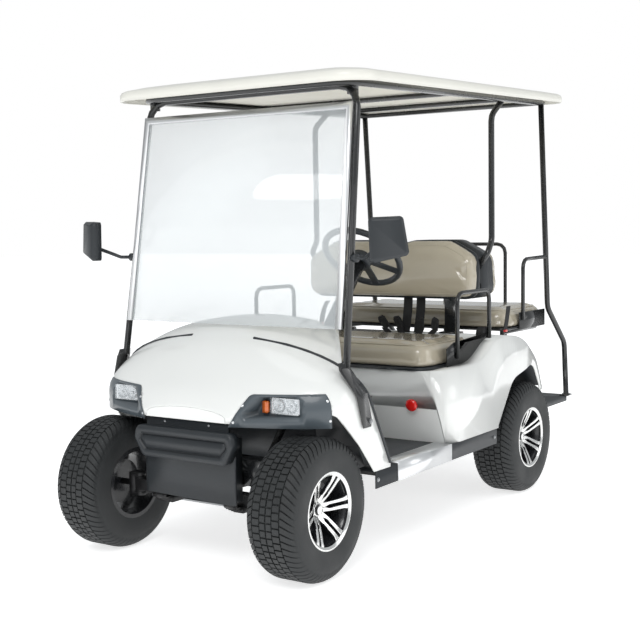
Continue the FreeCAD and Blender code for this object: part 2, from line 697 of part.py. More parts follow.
BUMPER_FRONT_Y = -978
SHIELD_FRONT_Y = FRAME_FRONT_Y - 6
BUMPER_TOP_Z = 522
BUMPER_BOTTOM_Z = 404


def bumper_outline(inset):
    top, bottom = BUMPER_TOP_Z - inset, BUMPER_BOTTOM_Z + inset
    waist = bottom + 0.6 * (top - bottom)
    corner = max(28 - inset * 0.6, 6)
    return [(228 - inset, top, corner), (238 - inset, waist, corner), (198 - inset * 0.7, bottom, corner),
            (-198 + inset * 0.7, bottom, corner), (-238 + inset, waist, corner), (-228 + inset, top, corner)]


def front_bumper():
    """A bulging cover with a recessed panel, hollow from behind, under a flat band."""
    rounding = [(SHIELD_FRONT_Y, 0), (BUMPER_FRONT_Y + 13, 0), (BUMPER_FRONT_Y + 4, 4), (BUMPER_FRONT_Y, 13)]
    sections = []
    for y, inset in rounding:
        corners = bumper_outline(inset)
        points = [vec(x, y, z) for x, z, _ in corners]
        sections.append(path_wire(points, [corner[2] for corner in corners], True))
    cover = Part.makeLoft(sections, True, True)
    recess = prism("xz", bumper_outline(28), BUMPER_FRONT_Y - 1, BUMPER_FRONT_Y + 8)
    panel = prism("xz", bumper_outline(35), BUMPER_FRONT_Y + 3, BUMPER_FRONT_Y + 10)
    hollow = prism("xz", bumper_outline(5), BUMPER_FRONT_Y + 14, SHIELD_FRONT_Y)
    band = box(-194, 194, SHIELD_FRONT_Y - 12, SHIELD_FRONT_Y, BUMPER_TOP_Z - 5, HOOD_EDGE_Z - SEAT_GAP)
    return fuse([cover.cut([recess, hollow]), panel, band])


def front_shield():
    """The upright plate behind the bumper and under it, with sides bent back."""
    face = prism("xz", [(-215, 262, 12), (215, 252, 12), (215, 518, 0), (-215, 518, 0)],
                 SHIELD_FRONT_Y, FRAME_FRONT_Y)
    wings = both_sides(box(209, 215, FRAME_FRONT_Y, FRAME_FRONT_Y + 34, 266, 500))
    return fuse([face] + wings)


# Cabin floor and dash

TOE_FOOT_Y = -505
TOE_TOP = (-552, 430)
TOE_FACE_SHIFT = 4.9
SHELF_Z = 612
SHELF_FRONT_Y = -560
SHELF_DEPTH = 110
FLOOR_END_Y = 60


def floor_pan():
    """Floor, toe board and the shelf under the dash, as one bent sheet."""
    low = FLOOR_Z - SKIN
    line = [(SHELF_FRONT_Y + SHELF_DEPTH, SHELF_Z), (SHELF_FRONT_Y, SHELF_Z), TOE_TOP, (TOE_FOOT_Y, low),
            (FLOOR_END_Y, low)]
    return strip("yz", line, SKIN, -FLOOR_HALF_WIDTH, FLOOR_HALF_WIDTH)


def floor_mat():
    edge = FLOOR_HALF_WIDTH - 4
    return box(-edge, edge, TOE_FOOT_Y + 8, FLOOR_END_Y, FLOOR_Z, FLOOR_Z + MAT_THICKNESS)


def column_axis(distance):
    """A point on the steering column's axis, measured down from the wheel's centre."""
    tilt = math.radians(WHEEL_TILT)
    x, y, z = WHEEL_CENTRE
    return (x, y - distance * math.sin(tilt), z - distance * math.cos(tilt))


def dashboard():
    """The curved wall under the cowl's rear edge, with an open pocket."""
    room = cowl_block(SKIN + SEAT_GAP, COWL_SKIRT_Z)
    wall = behind_cowl(-SKIN - SEAT_GAP).cut(behind_cowl(-SEAT_GAP)).common(room)
    wall = wall.common(box(-700, 700, -1000, 0, SHELF_Z + SEAT_GAP, 1000))
    pocket = box(-300, -60, -560, -400, 700, 820)
    tub = box(-303, -57, -563, -427, 697, 823)
    column = rod(column_axis(200), column_axis(600), COLUMN_HOLE_RADIUS)
    return fuse([wall, tub]).cut([pocket, column])


# Rear body

POD_FOOT_Y = 36
BODY_PLAN = [
    # half width, y, corner radius
    (585, SEAT_POD_FRONT_Y, 130), (585, 790, 500), (545, BODY_REAR_Y, 0)]
BODY_TOP = [
    # y, height, corner radius
    (SEAT_POD_FRONT_Y, 657, 0), (310, 664, 260), (470, 750, 200), (690, 760, 420), (960, 612, 260),
    (BODY_REAR_Y, 468, 0)]
REAR_ARCH = [(468, 200, 0), (484, 367, 0), (640, 556, 130), (890, 606, 120), (1008, 478, 30), (1010, 452, 0),
             (1200, 452, 0), (1200, 200, 0)]
LINER_INNER_X = 372
LINER_THICKNESS = 3


def body_solid(inset, base_z):
    """The seat pod and wings as a solid: the plan cut by the side view, with a rounded upper edge."""
    half_plan = [(half - inset, y + (inset if index == 0 else 0), max(radius - inset, 0))
                 for index, (half, y, radius) in enumerate(BODY_PLAN)]
    tail = -inset if inset > 0 else 0
    half_plan[-1] = (half_plan[-1][0], BODY_REAR_Y - tail, 0)
    plan = half_plan + [(-half, y, radius) for half, y, radius in reversed(half_plan)]
    slope = [(POD_FOOT_Y + inset, base_z, 0), (SEAT_POD_FRONT_Y + inset, 655, 0)]
    top = [(y + (inset if index == 0 else 0), z - inset, radius) for index, (y, z, radius) in enumerate(BODY_TOP)]
    top[-1] = (BODY_REAR_Y - tail, BODY_TOP[-1][1] - inset, 0)
    block = prism("xy", plan, base_z, 900)
    profile = prism("yz", [(BODY_REAR_Y - tail, base_z, 0), slope[0]] + top, -700, 700)
    return block.common(profile)


def rear_body():
    """The seat pod and rear wings: a thin shell, open below, with a well for the seat."""
    base = SILL_TOP_Z + SEAT_GAP
    outer = body_solid(0, base)
    inner = body_solid(SKIN, base - 50)
    arches = both_sides(prism("yz", REAR_ARCH, LINER_INNER_X - LINER_THICKNESS - SEAT_GAP, 700))
    side = CUSHION_HALF_WIDTH + 8
    rear = SEAT_WELL_REAR_Y
    tray = box(-side - SKIN, side + SKIN, -40, rear + SKIN, SEAT_WELL_Z - SKIN, 800).common(outer)
    well = box(-side, side, -60, rear, SEAT_WELL_Z, 900)
    hatch = box(-400, 400, 56, 434, SEAT_WELL_Z - 20, SEAT_WELL_Z + 20)
    return fuse([outer.cut(inner), tray]).cut([well, hatch] + arches)


def seated(shapes):
    """Trims what stands on the body so that it meets the panels with the usual gap."""
    ground = body_solid(-SEAT_GAP, SILL_TOP_Z)
    return [shape.cut(ground) for shape in shapes]


def wheel_liner_rear():
    """The inner arch over a rear wheel, with its inboard wall."""
    line = [(y, z) for y, z, _ in REAR_ARCH[1:5]]
    band = strip("yz", line, LINER_THICKNESS, LINER_INNER_X, SILL_OUTER_X - SKIN)
    wall = prism("yz", [(y, z, 0) for y, z in line] + [(1008, 460, 0), (700, 380, 0)],
                 LINER_INNER_X - LINER_THICKNESS, LINER_INNER_X)
    room = body_solid(SKIN + SEAT_GAP, 200)
    return largest_piece(fuse([band, wall]).common(room))


def wheel_liner_front():
    line = [(-785, 596), (-690, 588), (-572, 500), (-562, 436)]
    band = strip("yz", line, LINER_THICKNESS, WHEEL_CENTRE[0] + COLUMN_HOLE_RADIUS, 572)
    return largest_piece(band.common(cowl_block(SKIN + SEAT_GAP, COWL_SKIRT_Z)))


def rocker_panel():
    """The black sill under a door: a folded plate that hangs over the frame's arms."""
    outline = [(FLOOR_HALF_WIDTH + 2, SILL_TOP_Z - SKIN, 0), (FLOOR_HALF_WIDTH + 2, SILL_TOP_Z, 0),
               (SILL_OUTER_X, SILL_TOP_Z, 0), (SILL_OUTER_X, SILL_BOTTOM_Z, 0),
               (SILL_OUTER_X - SKIN, SILL_BOTTOM_Z, 0), (SILL_OUTER_X - SKIN, SILL_TOP_Z - SKIN, 0)]
    return prism("xz", outline, ROCKER_FRONT_Y, ROCKER_REAR_Y)


def step_plate():
    """The bright tread plate that wraps the sill where people step in."""
    inner = FLOOR_HALF_WIDTH + 7
    low = SILL_TOP_Z + SEAT_GAP
    outer = SILL_OUTER_X + SEAT_GAP
    outline = [(inner, low, 0), (outer, low, 0), (outer, SILL_BOTTOM_Z, 0), (outer + 3, SILL_BOTTOM_Z, 0),
               (outer + 3, low + 3, 0), (inner, low + 3, 0)]
    return prism("xz", outline, -410, 30)


BUTTON_PLACE = (420, 514)


def emergency_button():
    """A mushroom push-button on the seat pod's front panel."""
    x, z = BUTTON_PLACE
    panel_foot_z = SILL_TOP_Z + SEAT_GAP
    lean = vec(0, panel_foot_z - SEAT_WELL_Z, SEAT_POD_FRONT_Y - POD_FOOT_Y).normalize()
    panel_y = line_at(z, (SEAT_WELL_Z, SEAT_POD_FRONT_Y), (panel_foot_z, POD_FOOT_Y))
    foot = vec(x, panel_y, z) + lean * SEAT_GAP
    stem = Part.makeCylinder(14, 16, foot, lean)
    head = Part.makeCylinder(26, 9, foot + lean * 14, lean)
    crown = Part.makeCone(26, 20, 6, foot + lean * 23, lean)
    return fuse([stem, head, crown])


# Seats

def lid_place():
    return LID_HINGE_Y, SEAT_WELL_Z + SEAT_GAP + LID_HINGE_RADIUS


def rounded_slab(x_half, y0, y1, z0, z1, corner, top_radius):
    slab = prism("xy", [(-x_half, y0, corner), (x_half, y0, corner), (x_half, y1, corner), (-x_half, y1, corner)], z0, z1)
    edges = [edge for edge in slab.Edges if edge.BoundBox.ZMin > z1 - 0.1]
    return slab.makeFillet(top_radius, edges)


def front_seat_cushion():
    return rounded_slab(CUSHION_HALF_WIDTH, FRONT_CUSHION_FRONT_Y, FRONT_CUSHION_REAR_Y, CUSHION_BOTTOM_Z,
                        CUSHION_BOTTOM_Z + FRONT_CUSHION_THICKNESS, 70, 34)


def front_seat_base():
    """The board under the cushion, with its latch and two hinge knuckles."""
    low = SEAT_WELL_Z + SEAT_GAP
    board = prism("xy", [(-CUSHION_HALF_WIDTH + 3, FRONT_CUSHION_FRONT_Y + 4, 66),
                         (CUSHION_HALF_WIDTH - 3, FRONT_CUSHION_FRONT_Y + 4, 66),
                         (CUSHION_HALF_WIDTH - 3, FRONT_CUSHION_REAR_Y - 4, 30),
                         (-CUSHION_HALF_WIDTH + 3, FRONT_CUSHION_REAR_Y - 4, 30)], low, low + SEAT_BASE_THICKNESS)
    hinge_y, hinge_z = lid_place()
    parts = [board]
    for x in (-300, 300):
        parts.append(rod((x - 30, hinge_y, hinge_z), (x + 30, hinge_y, hinge_z), LID_HINGE_RADIUS))
        parts.append(box(x - 30, x + 30, hinge_y, FRONT_CUSHION_FRONT_Y + 20, hinge_z - 2, hinge_z + 2))
    return fuse(parts)


def backrest_outline(inset):
    """The two-humped back seen from the front."""
    half = BACKREST_HALF_WIDTH - inset
    top, bottom = BACKREST_TOP_Z - inset, BACKREST_BOTTOM_Z + inset
    return [(-half, bottom, 60), (half, bottom, 60), (half, top - 70, 70), (half - 130, top, 90),
            (120, top, 120), (0, top - 26, 120), (-120, top, 120), (-half + 130, top, 90), (-half, top - 70, 70)]


def backrest_slice(side_outline, inset):
    return prism("xz", backrest_outline(inset), 300, 900).common(prism("yz", side_outline, -600, 600))


SEAT_POST_Y = 585
SEAT_POST_DEPTH = 30


def backrest_pads():
    top, bottom = BACKREST_TOP_Z + 20, BACKREST_BOTTOM_Z - 20
    front = [(556, bottom, 0), (582, top, 0), (548, top, 0), (506, 1130, 60), (492, 1030, 80), (516, bottom, 0)]
    rear = [(740, bottom, 0), (698, top, 0), (732, top, 0), (782, 1130, 60), (802, 1030, 80), (784, bottom, 0)]
    return [backrest_slice(front, 3), backrest_slice(rear, 3)]


def backrest_shells():
    top, bottom = BACKREST_TOP_Z + 20, BACKREST_BOTTOM_Z - 20
    gap = SEAT_GAP
    front = [(556 + gap, bottom, 0), (582 + gap, top, 0), (SEAT_POST_Y - gap, top, 0), (SEAT_POST_Y - gap, bottom, 0)]
    back = SEAT_POST_Y + SEAT_POST_DEPTH + gap
    rear = [(740 - gap, bottom, 0), (698 - gap, top, 0), (back, top, 0), (back, bottom, 0)]
    return [backrest_slice(front, 0), backrest_slice(rear, 0)]


def seat_frame():
    """Posts and rails between the two backrests."""
    parts = []
    y0, y1 = SEAT_POST_Y, SEAT_POST_Y + SEAT_POST_DEPTH
    for x in (-292, 292):
        parts.append(box(x - 26, x + 26, y0, y1, 720, 1120))
        parts.append(box(x - 45, x + 45, y0 - 20, y1 + 20, 720, 762))
    for z in (960, 1080):
        parts.append(box(-438, 438, y0, y1, z, z + 26))
    struts = both_sides(middle_strut(STRUT_RADIUS + SEAT_GAP))
    return seated([fuse(parts).cut(struts)])


def rear_seat_pan():
    """The board under the rear cushion, its legs, side rails and end plates."""
    low = REAR_CUSHION_BOTTOM_Z - SEAT_BASE_THICKNESS - SEAT_GAP
    half = CUSHION_HALF_WIDTH - 14
    pan = prism("xy", [(-half, REAR_CUSHION_FRONT_Y + 4, 40), (half, REAR_CUSHION_FRONT_Y + 4, 40),
                       (half, REAR_CUSHION_REAR_Y - 4, 40), (-half, REAR_CUSHION_REAR_Y - 4, 40)],
                low, low + SEAT_BASE_THICKNESS)
    legs = []
    for x in (-440, 440):
        legs.append(rod((x, 835, 660), (x, 835, low + 2), 11))
        legs.append(rod((x, 840, low - 11), (x, 1215, low - 11), 12))
    plates = both_sides(box(CUSHION_HALF_WIDTH - 9, CUSHION_HALF_WIDTH - 3, 916, 1215, low - 2, 834))
    tie = both_sides(box(half - 20, CUSHION_HALF_WIDTH - 3, 930, 1212, low, low + 6))
    return seated([fuse([pan] + legs + plates + tie)])[0]


def rear_seat_cushion():
    return rounded_slab(CUSHION_HALF_WIDTH - 10, REAR_CUSHION_FRONT_Y, REAR_CUSHION_REAR_Y, REAR_CUSHION_BOTTOM_Z,
                        REAR_CUSHION_BOTTOM_Z + REAR_CUSHION_THICKNESS, 70, 32)


HOOP_X = 529
HOOP_FRONT = (197, 506, 966)


def hip_restraint():
    """A side plate on the body and the hoop that stands on it."""
    front_y, rear_y, top = HOOP_FRONT
    hoop = tube([(HOOP_X, front_y, 690, 0), (HOOP_X, front_y, top, 42), (HOOP_X, rear_y, top, 42),
                 (HOOP_X, rear_y, 740, 0)], HOOP_RADIUS)
    plate = prism("yz", [(122, 640, 0), (524, 640, 0), (524, 776, 0), (186, 758, 0), (122, 735, 0)],
                  HOOP_X - HOOP_RADIUS - 5, HOOP_X - HOOP_RADIUS + 1)
    return seated([fuse([hoop, plate])])[0]


# Roof

def roof_outline(inset, z):
    """One level of the roof: a rectangle with round corners, in the roof's own frame."""
    half = ROOF_HALF_WIDTH - inset
    length = ROOF_REAR_Y - ROOF_FRONT_Y
    front_corner = max(ROOF_CORNER - inset * 0.4, 40)
    rear_corner = front_corner * 0.7
    points = [vec(-half, inset, z), vec(half, inset, z), vec(half, length - inset, z), vec(-half, length - inset, z)]
    return path_wire(points, [front_corner, front_corner, rear_corner, rear_corner], True)


def roof_place(shape):
    """Moves a piece from the roof's own frame to its slope over the cabin."""
    shape.rotate(vec(0, 0, 0), vec(1, 0, 0), math.degrees(math.atan(ROOF_SLOPE)))
    shape.translate(vec(0, ROOF_FRONT_Y, ROOF_FRONT_Z))
    return shape


ROOF_LEVELS = [
    # how far in from the edge, height over the edge
    (0, 0), (0, 26), (5, 35), (16, 41), (70, 53), (160, 66), (290, 77)]


def roof_shell():
    """A domed cap with an upright rim, hollow below."""
    outer = Part.makeLoft([roof_outline(inset, z) for inset, z in ROOF_LEVELS], True, True)
    inner = Part.makeLoft([roof_outline(SKIN + inset, z - (SKIN if z else 5)) for inset, z in ROOF_LEVELS], True, True)
    return roof_place(outer.cut(inner))


def rail_z(y):
    """Height of the roof rail's centre line."""
    return ROOF_FRONT_Z + (y - ROOF_FRONT_Y) * ROOF_SLOPE + RAIL_LIFT


def roof_liner():
    low = RAIL_LIFT + STRUT_RADIUS + SEAT_GAP
    sheet = Part.Face(roof_outline(SKIN + SEAT_GAP, low)).extrude(vec(0, 0, 3))
    return roof_place(sheet)


RAIL_FRONT_Y = -612
RAIL_REAR_Y = 1166
RAIL_LIFT = 4
BAR_RADIUS = 11.5
STRUT_LEAN = (SCREEN_TOP_Y - SCREEN_BOTTOM_Y) / (SCREEN_TOP_Z - SCREEN_BOTTOM_Z)
STRUT_BEHIND_SCREEN = 22
STRUT_FOOT = (535, 745)
STRUT_HEAD_X = 503
STRUT_HEAD_DROP = 4


def strut_y(z):
    """The front strut runs just behind the windscreen."""
    return SCREEN_BOTTOM_Y + STRUT_LEAN * (z - SCREEN_BOTTOM_Z) + STRUT_BEHIND_SCREEN


def roof_rail(radius):
    """The bar that runs round the roof inside its edge, open at the back."""
    front_z, rear_z = rail_z(RAIL_FRONT_Y), rail_z(RAIL_REAR_Y)
    half = RAIL_HALF_WIDTH
    return tube([(half, RAIL_REAR_Y, rear_z, 0), (half, RAIL_FRONT_Y, front_z, 95),
                 (-half, RAIL_FRONT_Y, front_z, 95), (-half, RAIL_REAR_Y, rear_z, 0)], radius)


def roof_bars(radius):
    """The cross bars that the roof is screwed to."""
    reach = RAIL_HALF_WIDTH
    return [rod((-reach, y, rail_z(y)), (reach, y, rail_z(y)), radius) for y in (220, 760, RAIL_REAR_Y - 16)]


def strut_bracket():
    """The flattened foot of the front strut, folded down over the cowl's side."""
    face_x = BODY_HALF_WIDTH + 1.5
    foot_x, foot_z = STRUT_FOOT
    band = strip("xz", [(foot_x - 8, foot_z + 22), (foot_x - 2, foot_z), (face_x, 652), (face_x, 528)], 5, -800, -500)
    side = prism("yz", [(-735, 740, 0), (-728, 775, 0), (-672, 775, 0), (-664, 740, 0), (-606, 552, 0), (-612, 528, 0),
                        (-662, 528, 0)], 500, 700)
    return band.common(side)


def strut_head():
    """Place and height of the front strut's top bar."""
    top_z = rail_z(RAIL_FRONT_Y) - STRUT_HEAD_DROP
    return strut_y(top_z), top_z


def front_strut(radius):
    """An upturned U behind the windscreen."""
    top_y, top_z = strut_head()
    foot_x, foot_z = STRUT_FOOT
    return tube([(foot_x, strut_y(foot_z), foot_z, 0), (STRUT_HEAD_X, top_y, top_z, 85),
                 (-STRUT_HEAD_X, top_y, top_z, 85), (-foot_x, strut_y(foot_z), foot_z, 0)], radius)


def roof_frame():
    """The rail under the roof's edge, its cross bars, and the front strut with its feet."""
    top_y, top_z = strut_head()
    gussets = both_sides(box(460, RAIL_HALF_WIDTH, top_y - 8, top_y + 8, top_z - 34, top_z + 4))
    tubes = [roof_rail(STRUT_RADIUS), front_strut(STRUT_RADIUS)] + roof_bars(BAR_RADIUS)
    return fuse(tubes + both_sides(strut_bracket()) + gussets)


def middle_strut(radius):
    """From the roof rail down to the end of the seat frame's upper bar."""
    return tube([(478, 752, rail_z(752) - 4, 0), (478, 640, 1742, 50), (478, 642, 1180, 50),
                 (478, 600, 1126, 30), (430, 600, 1060, 0)], radius)


def rear_strut():
    """From the roof rail down to the foot plate, with the rear hip loop."""
    post = tube([(500, 1150, rail_z(1150) - 4, 0), (500, 1236, 838, 60), (500, 1456, 645, 60),
                 (500, 1484, PLATE_Z + 4, 0)], STRUT_RADIUS)
    loop = tube([(504, 930, 800, 0), (504, 930, 1086, 42), (502, 1205, 1092, 0)], HOOP_RADIUS)
    foot = box(478, 522, 1450, PLATE_REAR_Y - 2, PLATE_Z + SEAT_GAP, PLATE_Z + 6)
    return fuse([post, loop, foot])


def roof_struts():
    """The middle and rear struts, coped to the roof rail and its bars."""
    rails = [roof_rail(STRUT_RADIUS + SEAT_GAP)] + roof_bars(BAR_RADIUS + SEAT_GAP)
    middle = largest_piece(middle_strut(STRUT_RADIUS).cut(rails))
    rear = largest_piece(rear_strut().cut(rails))
    return both_sides(middle) + both_sides(rear)


# Windscreen

def screen_frame(shape):
    """Leans a screen piece from upright to its place behind the hood."""
    shape.rotate(vec(0, 0, 0), vec(1, 0, 0), -math.degrees(math.atan(STRUT_LEAN)))
    shape.translate(vec(0, SCREEN_BOTTOM_Y, SCREEN_BOTTOM_Z))
    return shape


SCREEN_LENGTH = math.hypot(SCREEN_TOP_Z - SCREEN_BOTTOM_Z, SCREEN_TOP_Y - SCREEN_BOTTOM_Y)


def windscreen():
    low, top = SCREEN_BOTTOM_HALF - SEAT_GAP, SCREEN_TOP_HALF - SEAT_GAP
    sheet = prism("xz", [(-low, 0, 20), (low, 0, 20), (top, SCREEN_LENGTH - 22, 0), (-top, SCREEN_LENGTH - 22, 0)],
                  -GLASS_THICKNESS / 2, GLASS_THICKNESS / 2)
    return screen_frame(sheet)


def windscreen_channels():
    """Bright channels down both edges and across the top of the screen."""
    half_depth = CHANNEL_DEPTH / 2
    parts = []
    for side in (-1, 1):
        edge = CHANNEL_WIDTH / 2
        outline = [(side * (SCREEN_BOTTOM_HALF - edge), 0, 0), (side * (SCREEN_BOTTOM_HALF + edge), 0, 0),
                   (side * (SCREEN_TOP_HALF + edge), SCREEN_LENGTH, 0),
                   (side * (SCREEN_TOP_HALF - edge), SCREEN_LENGTH, 0)]
        parts.append(prism("xz", outline, -half_depth, half_depth))
    parts.append(prism("xz", [(-SCREEN_TOP_HALF, SCREEN_LENGTH - 26, 0), (SCREEN_TOP_HALF, SCREEN_LENGTH - 26, 0),
                              (SCREEN_TOP_HALF, SCREEN_LENGTH, 0), (-SCREEN_TOP_HALF, SCREEN_LENGTH, 0)],
                       -half_depth, half_depth))
    low, top = SCREEN_BOTTOM_HALF, SCREEN_TOP_HALF
    slot = prism("xz", [(-low, -5, 0), (low, -5, 0), (top, SCREEN_LENGTH - 21.7, 0), (-top, SCREEN_LENGTH - 21.7, 0)],
                 -GLASS_THICKNESS / 2 - SEAT_GAP, GLASS_THICKNESS / 2 + SEAT_GAP)
    return screen_frame(fuse(parts).cut(slot))


# Mirrors, steering and pedals

MIRROR_CENTRE = (706, -690, 1206)
MIRROR_TURN = 30


def mirror():
    """A housing turned towards the driver, on an arm clamped to the strut."""
    outline = [(-56, -84, 16), (82, -54, 16), (60, 82, 16), (-62, 78, 16)]
    shell = prism("xz", outline, -22, 22)
    front = [edge for edge in shell.Edges if edge.BoundBox.YMax < -21]
    shell = shell.makeChamfer(10, front)
    face = prism("xz", [(x * 0.88, z * 0.88, 12) for x, z, _ in outline], 19, 30)
    shell = shell.cut(face)
    shell.rotate(vec(0, 0, 0), vec(0, 0, 1), MIRROR_TURN)
    shell.translate(vec(*MIRROR_CENTRE))
    x, y, z = MIRROR_CENTRE
    foot_x, foot_z = STRUT_FOOT
    clamp_z = z - 66
    clamp_y = strut_y(clamp_z)
    clamp_x = line_at(clamp_z, (foot_z, foot_x), (strut_head()[1], STRUT_HEAD_X))
    arm = tube([(clamp_x + STRUT_RADIUS + 4, clamp_y, clamp_z, 0), (clamp_x + 70, clamp_y - 14, clamp_z, 20),
                (x - 40, y - 4, z - 30, 0)], 7)
    collar = rod((clamp_x + 6, clamp_y, clamp_z), (clamp_x + STRUT_RADIUS + 14, clamp_y, clamp_z), 16)
    return fuse([shell, arm, collar]).cut(front_strut(STRUT_RADIUS + SEAT_GAP))


def wheel_ring():
    """The steering wheel's rim: a grip section carried round the centre in short straight runs."""
    sections = []
    for run in range(WHEEL_RUNS + 1):
        turn = 360 * (run % WHEEL_RUNS) / WHEEL_RUNS
        grip = Part.makePolygon([vec(WHEEL_OUTER_RADIUS - WHEEL_RIM_RADIUS + WHEEL_RIM_RADIUS * math.cos(angle), 0,
                                     WHEEL_RIM_RADIUS * math.sin(angle))
                                 for angle in [2 * math.pi * step / GRIP_SIDES for step in range(GRIP_SIDES)] + [0]])
        grip.rotate(vec(0, 0, 0), vec(0, 0, 1), turn)
        sections.append(grip)
    half = WHEEL_RUNS // 2
    return fuse([Part.makeLoft(sections[:half + 1], True, True), Part.makeLoft(sections[half:], True, True)])


def steering_wheel():
    """Rim, three spokes and a padded hub, built flat and then tilted."""
    hub = Part.makeCylinder(46, 34, vec(0, 0, -34))
    parts = [wheel_ring(), hub]
    for angle in WHEEL_SPOKES:
        bar = box(30, WHEEL_OUTER_RADIUS - WHEEL_RIM_RADIUS, -15, 15, -12, -4)
        bar.rotate(vec(0, 0, 0), vec(0, 0, 1), angle)
        parts.append(bar)
    wheel = fuse(parts)
    wheel = wheel.cut(Part.makeCylinder(10 + SHAFT_FIT, 30, vec(0, 0, -40)))
    wheel.rotate(vec(0, 0, 0), vec(1, 0, 0), -WHEEL_TILT)
    wheel.translate(vec(*WHEEL_CENTRE))
    return wheel


def steering_column():
    """Shaft, jacket and gearbox; the sector shaft carries the arm below."""
    shaft = rod(column_axis(12), column_axis(60), 10)
    jacket = rod(column_axis(40), column_axis(420), 26)
    lower = rod(column_axis(400), column_axis(990), 13)
    rail_face = RAIL_X + RAIL_WIDTH / 2
    box_y = FRONT_AXLE_Y
    gearbox = box(rail_face, rail_face + GEARBOX_WIDTH, box_y - 42, box_y + 38, GEARBOX_Z, GEARBOX_Z + 96)
    sector = rod((PITMAN_X, box_y, GEARBOX_Z - PITMAN_THICKNESS - 2), (PITMAN_X, box_y, GEARBOX_Z + 4), SECTOR_RADIUS)
    return fuse([shaft, jacket, lower, gearbox, sector])


def pedals():
    """Brake and accelerator, each a plate on an arm from the toe board."""
    shift = TOE_FACE_SHIFT
    front_space = prism("yz", [(TOE_FOOT_Y + shift, FLOOR_Z - SKIN, 0), (TOE_TOP[0] + shift, TOE_TOP[1], 0),
                               (SHELF_FRONT_Y + shift, SHELF_Z, 0), (-700, SHELF_Z, 0), (-700, 300, 0)], 0, 600)
    shapes = []
    for x, width in ((222, 70), (336, 56)):
        plate = box(-width / 2, width / 2, -8, 0, -34, 34)
        plate.rotate(vec(0, 0, 0), vec(1, 0, 0), 32)
        plate.translate(vec(x, -470, 440))
        arm = rod((x, -474, 442), (x, -560, 418), 8)
        shapes.append(fuse([plate, arm]).cut(front_space))
    return shapes


# Foot plate and hoop

def footplate():
    """The tread plate behind the rear seat, its rim and the arms that carry it."""
    low = PLATE_Z - PLATE_THICKNESS
    plate = prism("xy", [(-PLATE_HALF_WIDTH, PLATE_FRONT_Y, 20), (PLATE_HALF_WIDTH, PLATE_FRONT_Y, 20),
                         (PLATE_HALF_WIDTH, PLATE_REAR_Y, 40), (-PLATE_HALF_WIDTH, PLATE_REAR_Y, 40)], low - 22, PLATE_Z)
    hollow = prism("xy", [(-PLATE_HALF_WIDTH + 4, PLATE_FRONT_Y + 4, 16), (PLATE_HALF_WIDTH - 4, PLATE_FRONT_Y + 4, 16),
                          (PLATE_HALF_WIDTH - 4, PLATE_REAR_Y - 4, 36), (-PLATE_HALF_WIDTH + 4, PLATE_REAR_Y - 4, 36)],
                   low - 30, low)
    arm = prism("yz", [(FRAME_REAR_Y, REAR_RAIL_Z + RAIL_HEIGHT - 8, 0),
                       (FRAME_REAR_Y + 14, REAR_RAIL_Z + RAIL_HEIGHT - 8, 0), (FRAME_REAR_Y + 60, low + 1, 0),
                       (PLATE_REAR_Y - 30, low + 1, 0), (PLATE_REAR_Y - 30, low - 18, 0), (FRAME_REAR_Y, low - 24, 0)],
                RAIL_X - RAIL_WIDTH / 2, RAIL_X + RAIL_WIDTH / 2)
    pad_rear = HOOP_Y - HOOP_RADIUS - PAD_GAP
    pad = prism("xy", [(-PAD_HALF_WIDTH, PLATE_FRONT_Y + PAD_GAP, 12), (PAD_HALF_WIDTH, PLATE_FRONT_Y + PAD_GAP, 12),
                       (PAD_HALF_WIDTH, pad_rear, 12), (-PAD_HALF_WIDTH, pad_rear, 12)], PLATE_Z - 1, PLATE_Z + PAD_RISE)
    return fuse([plate.cut(hollow), pad] + both_sides(arm))


def grab_hoop():
    """An upright U on the foot plate for the rear passengers."""
    foot = PLATE_Z + SEAT_GAP
    half, top = GRAB_HALF_WIDTH, GRAB_TOP_Z
    return tube([(half, HOOP_Y, foot, 0), (half, HOOP_Y, top, 46), (-half, HOOP_Y, top, 46), (-half, HOOP_Y, foot, 0)],
                HOOP_RADIUS)


def seat_belts():
    """Belt reels beside the front seat and short buckle stalks behind it."""
    stalks = [box(x - 20, x + 20, 548, 556, 700, 830) for x in (-150, -70, 70, 150)]
    reels = both_sides(box(462, 500, 520, 556, 700, 790))
    return seated(stalks + reels)


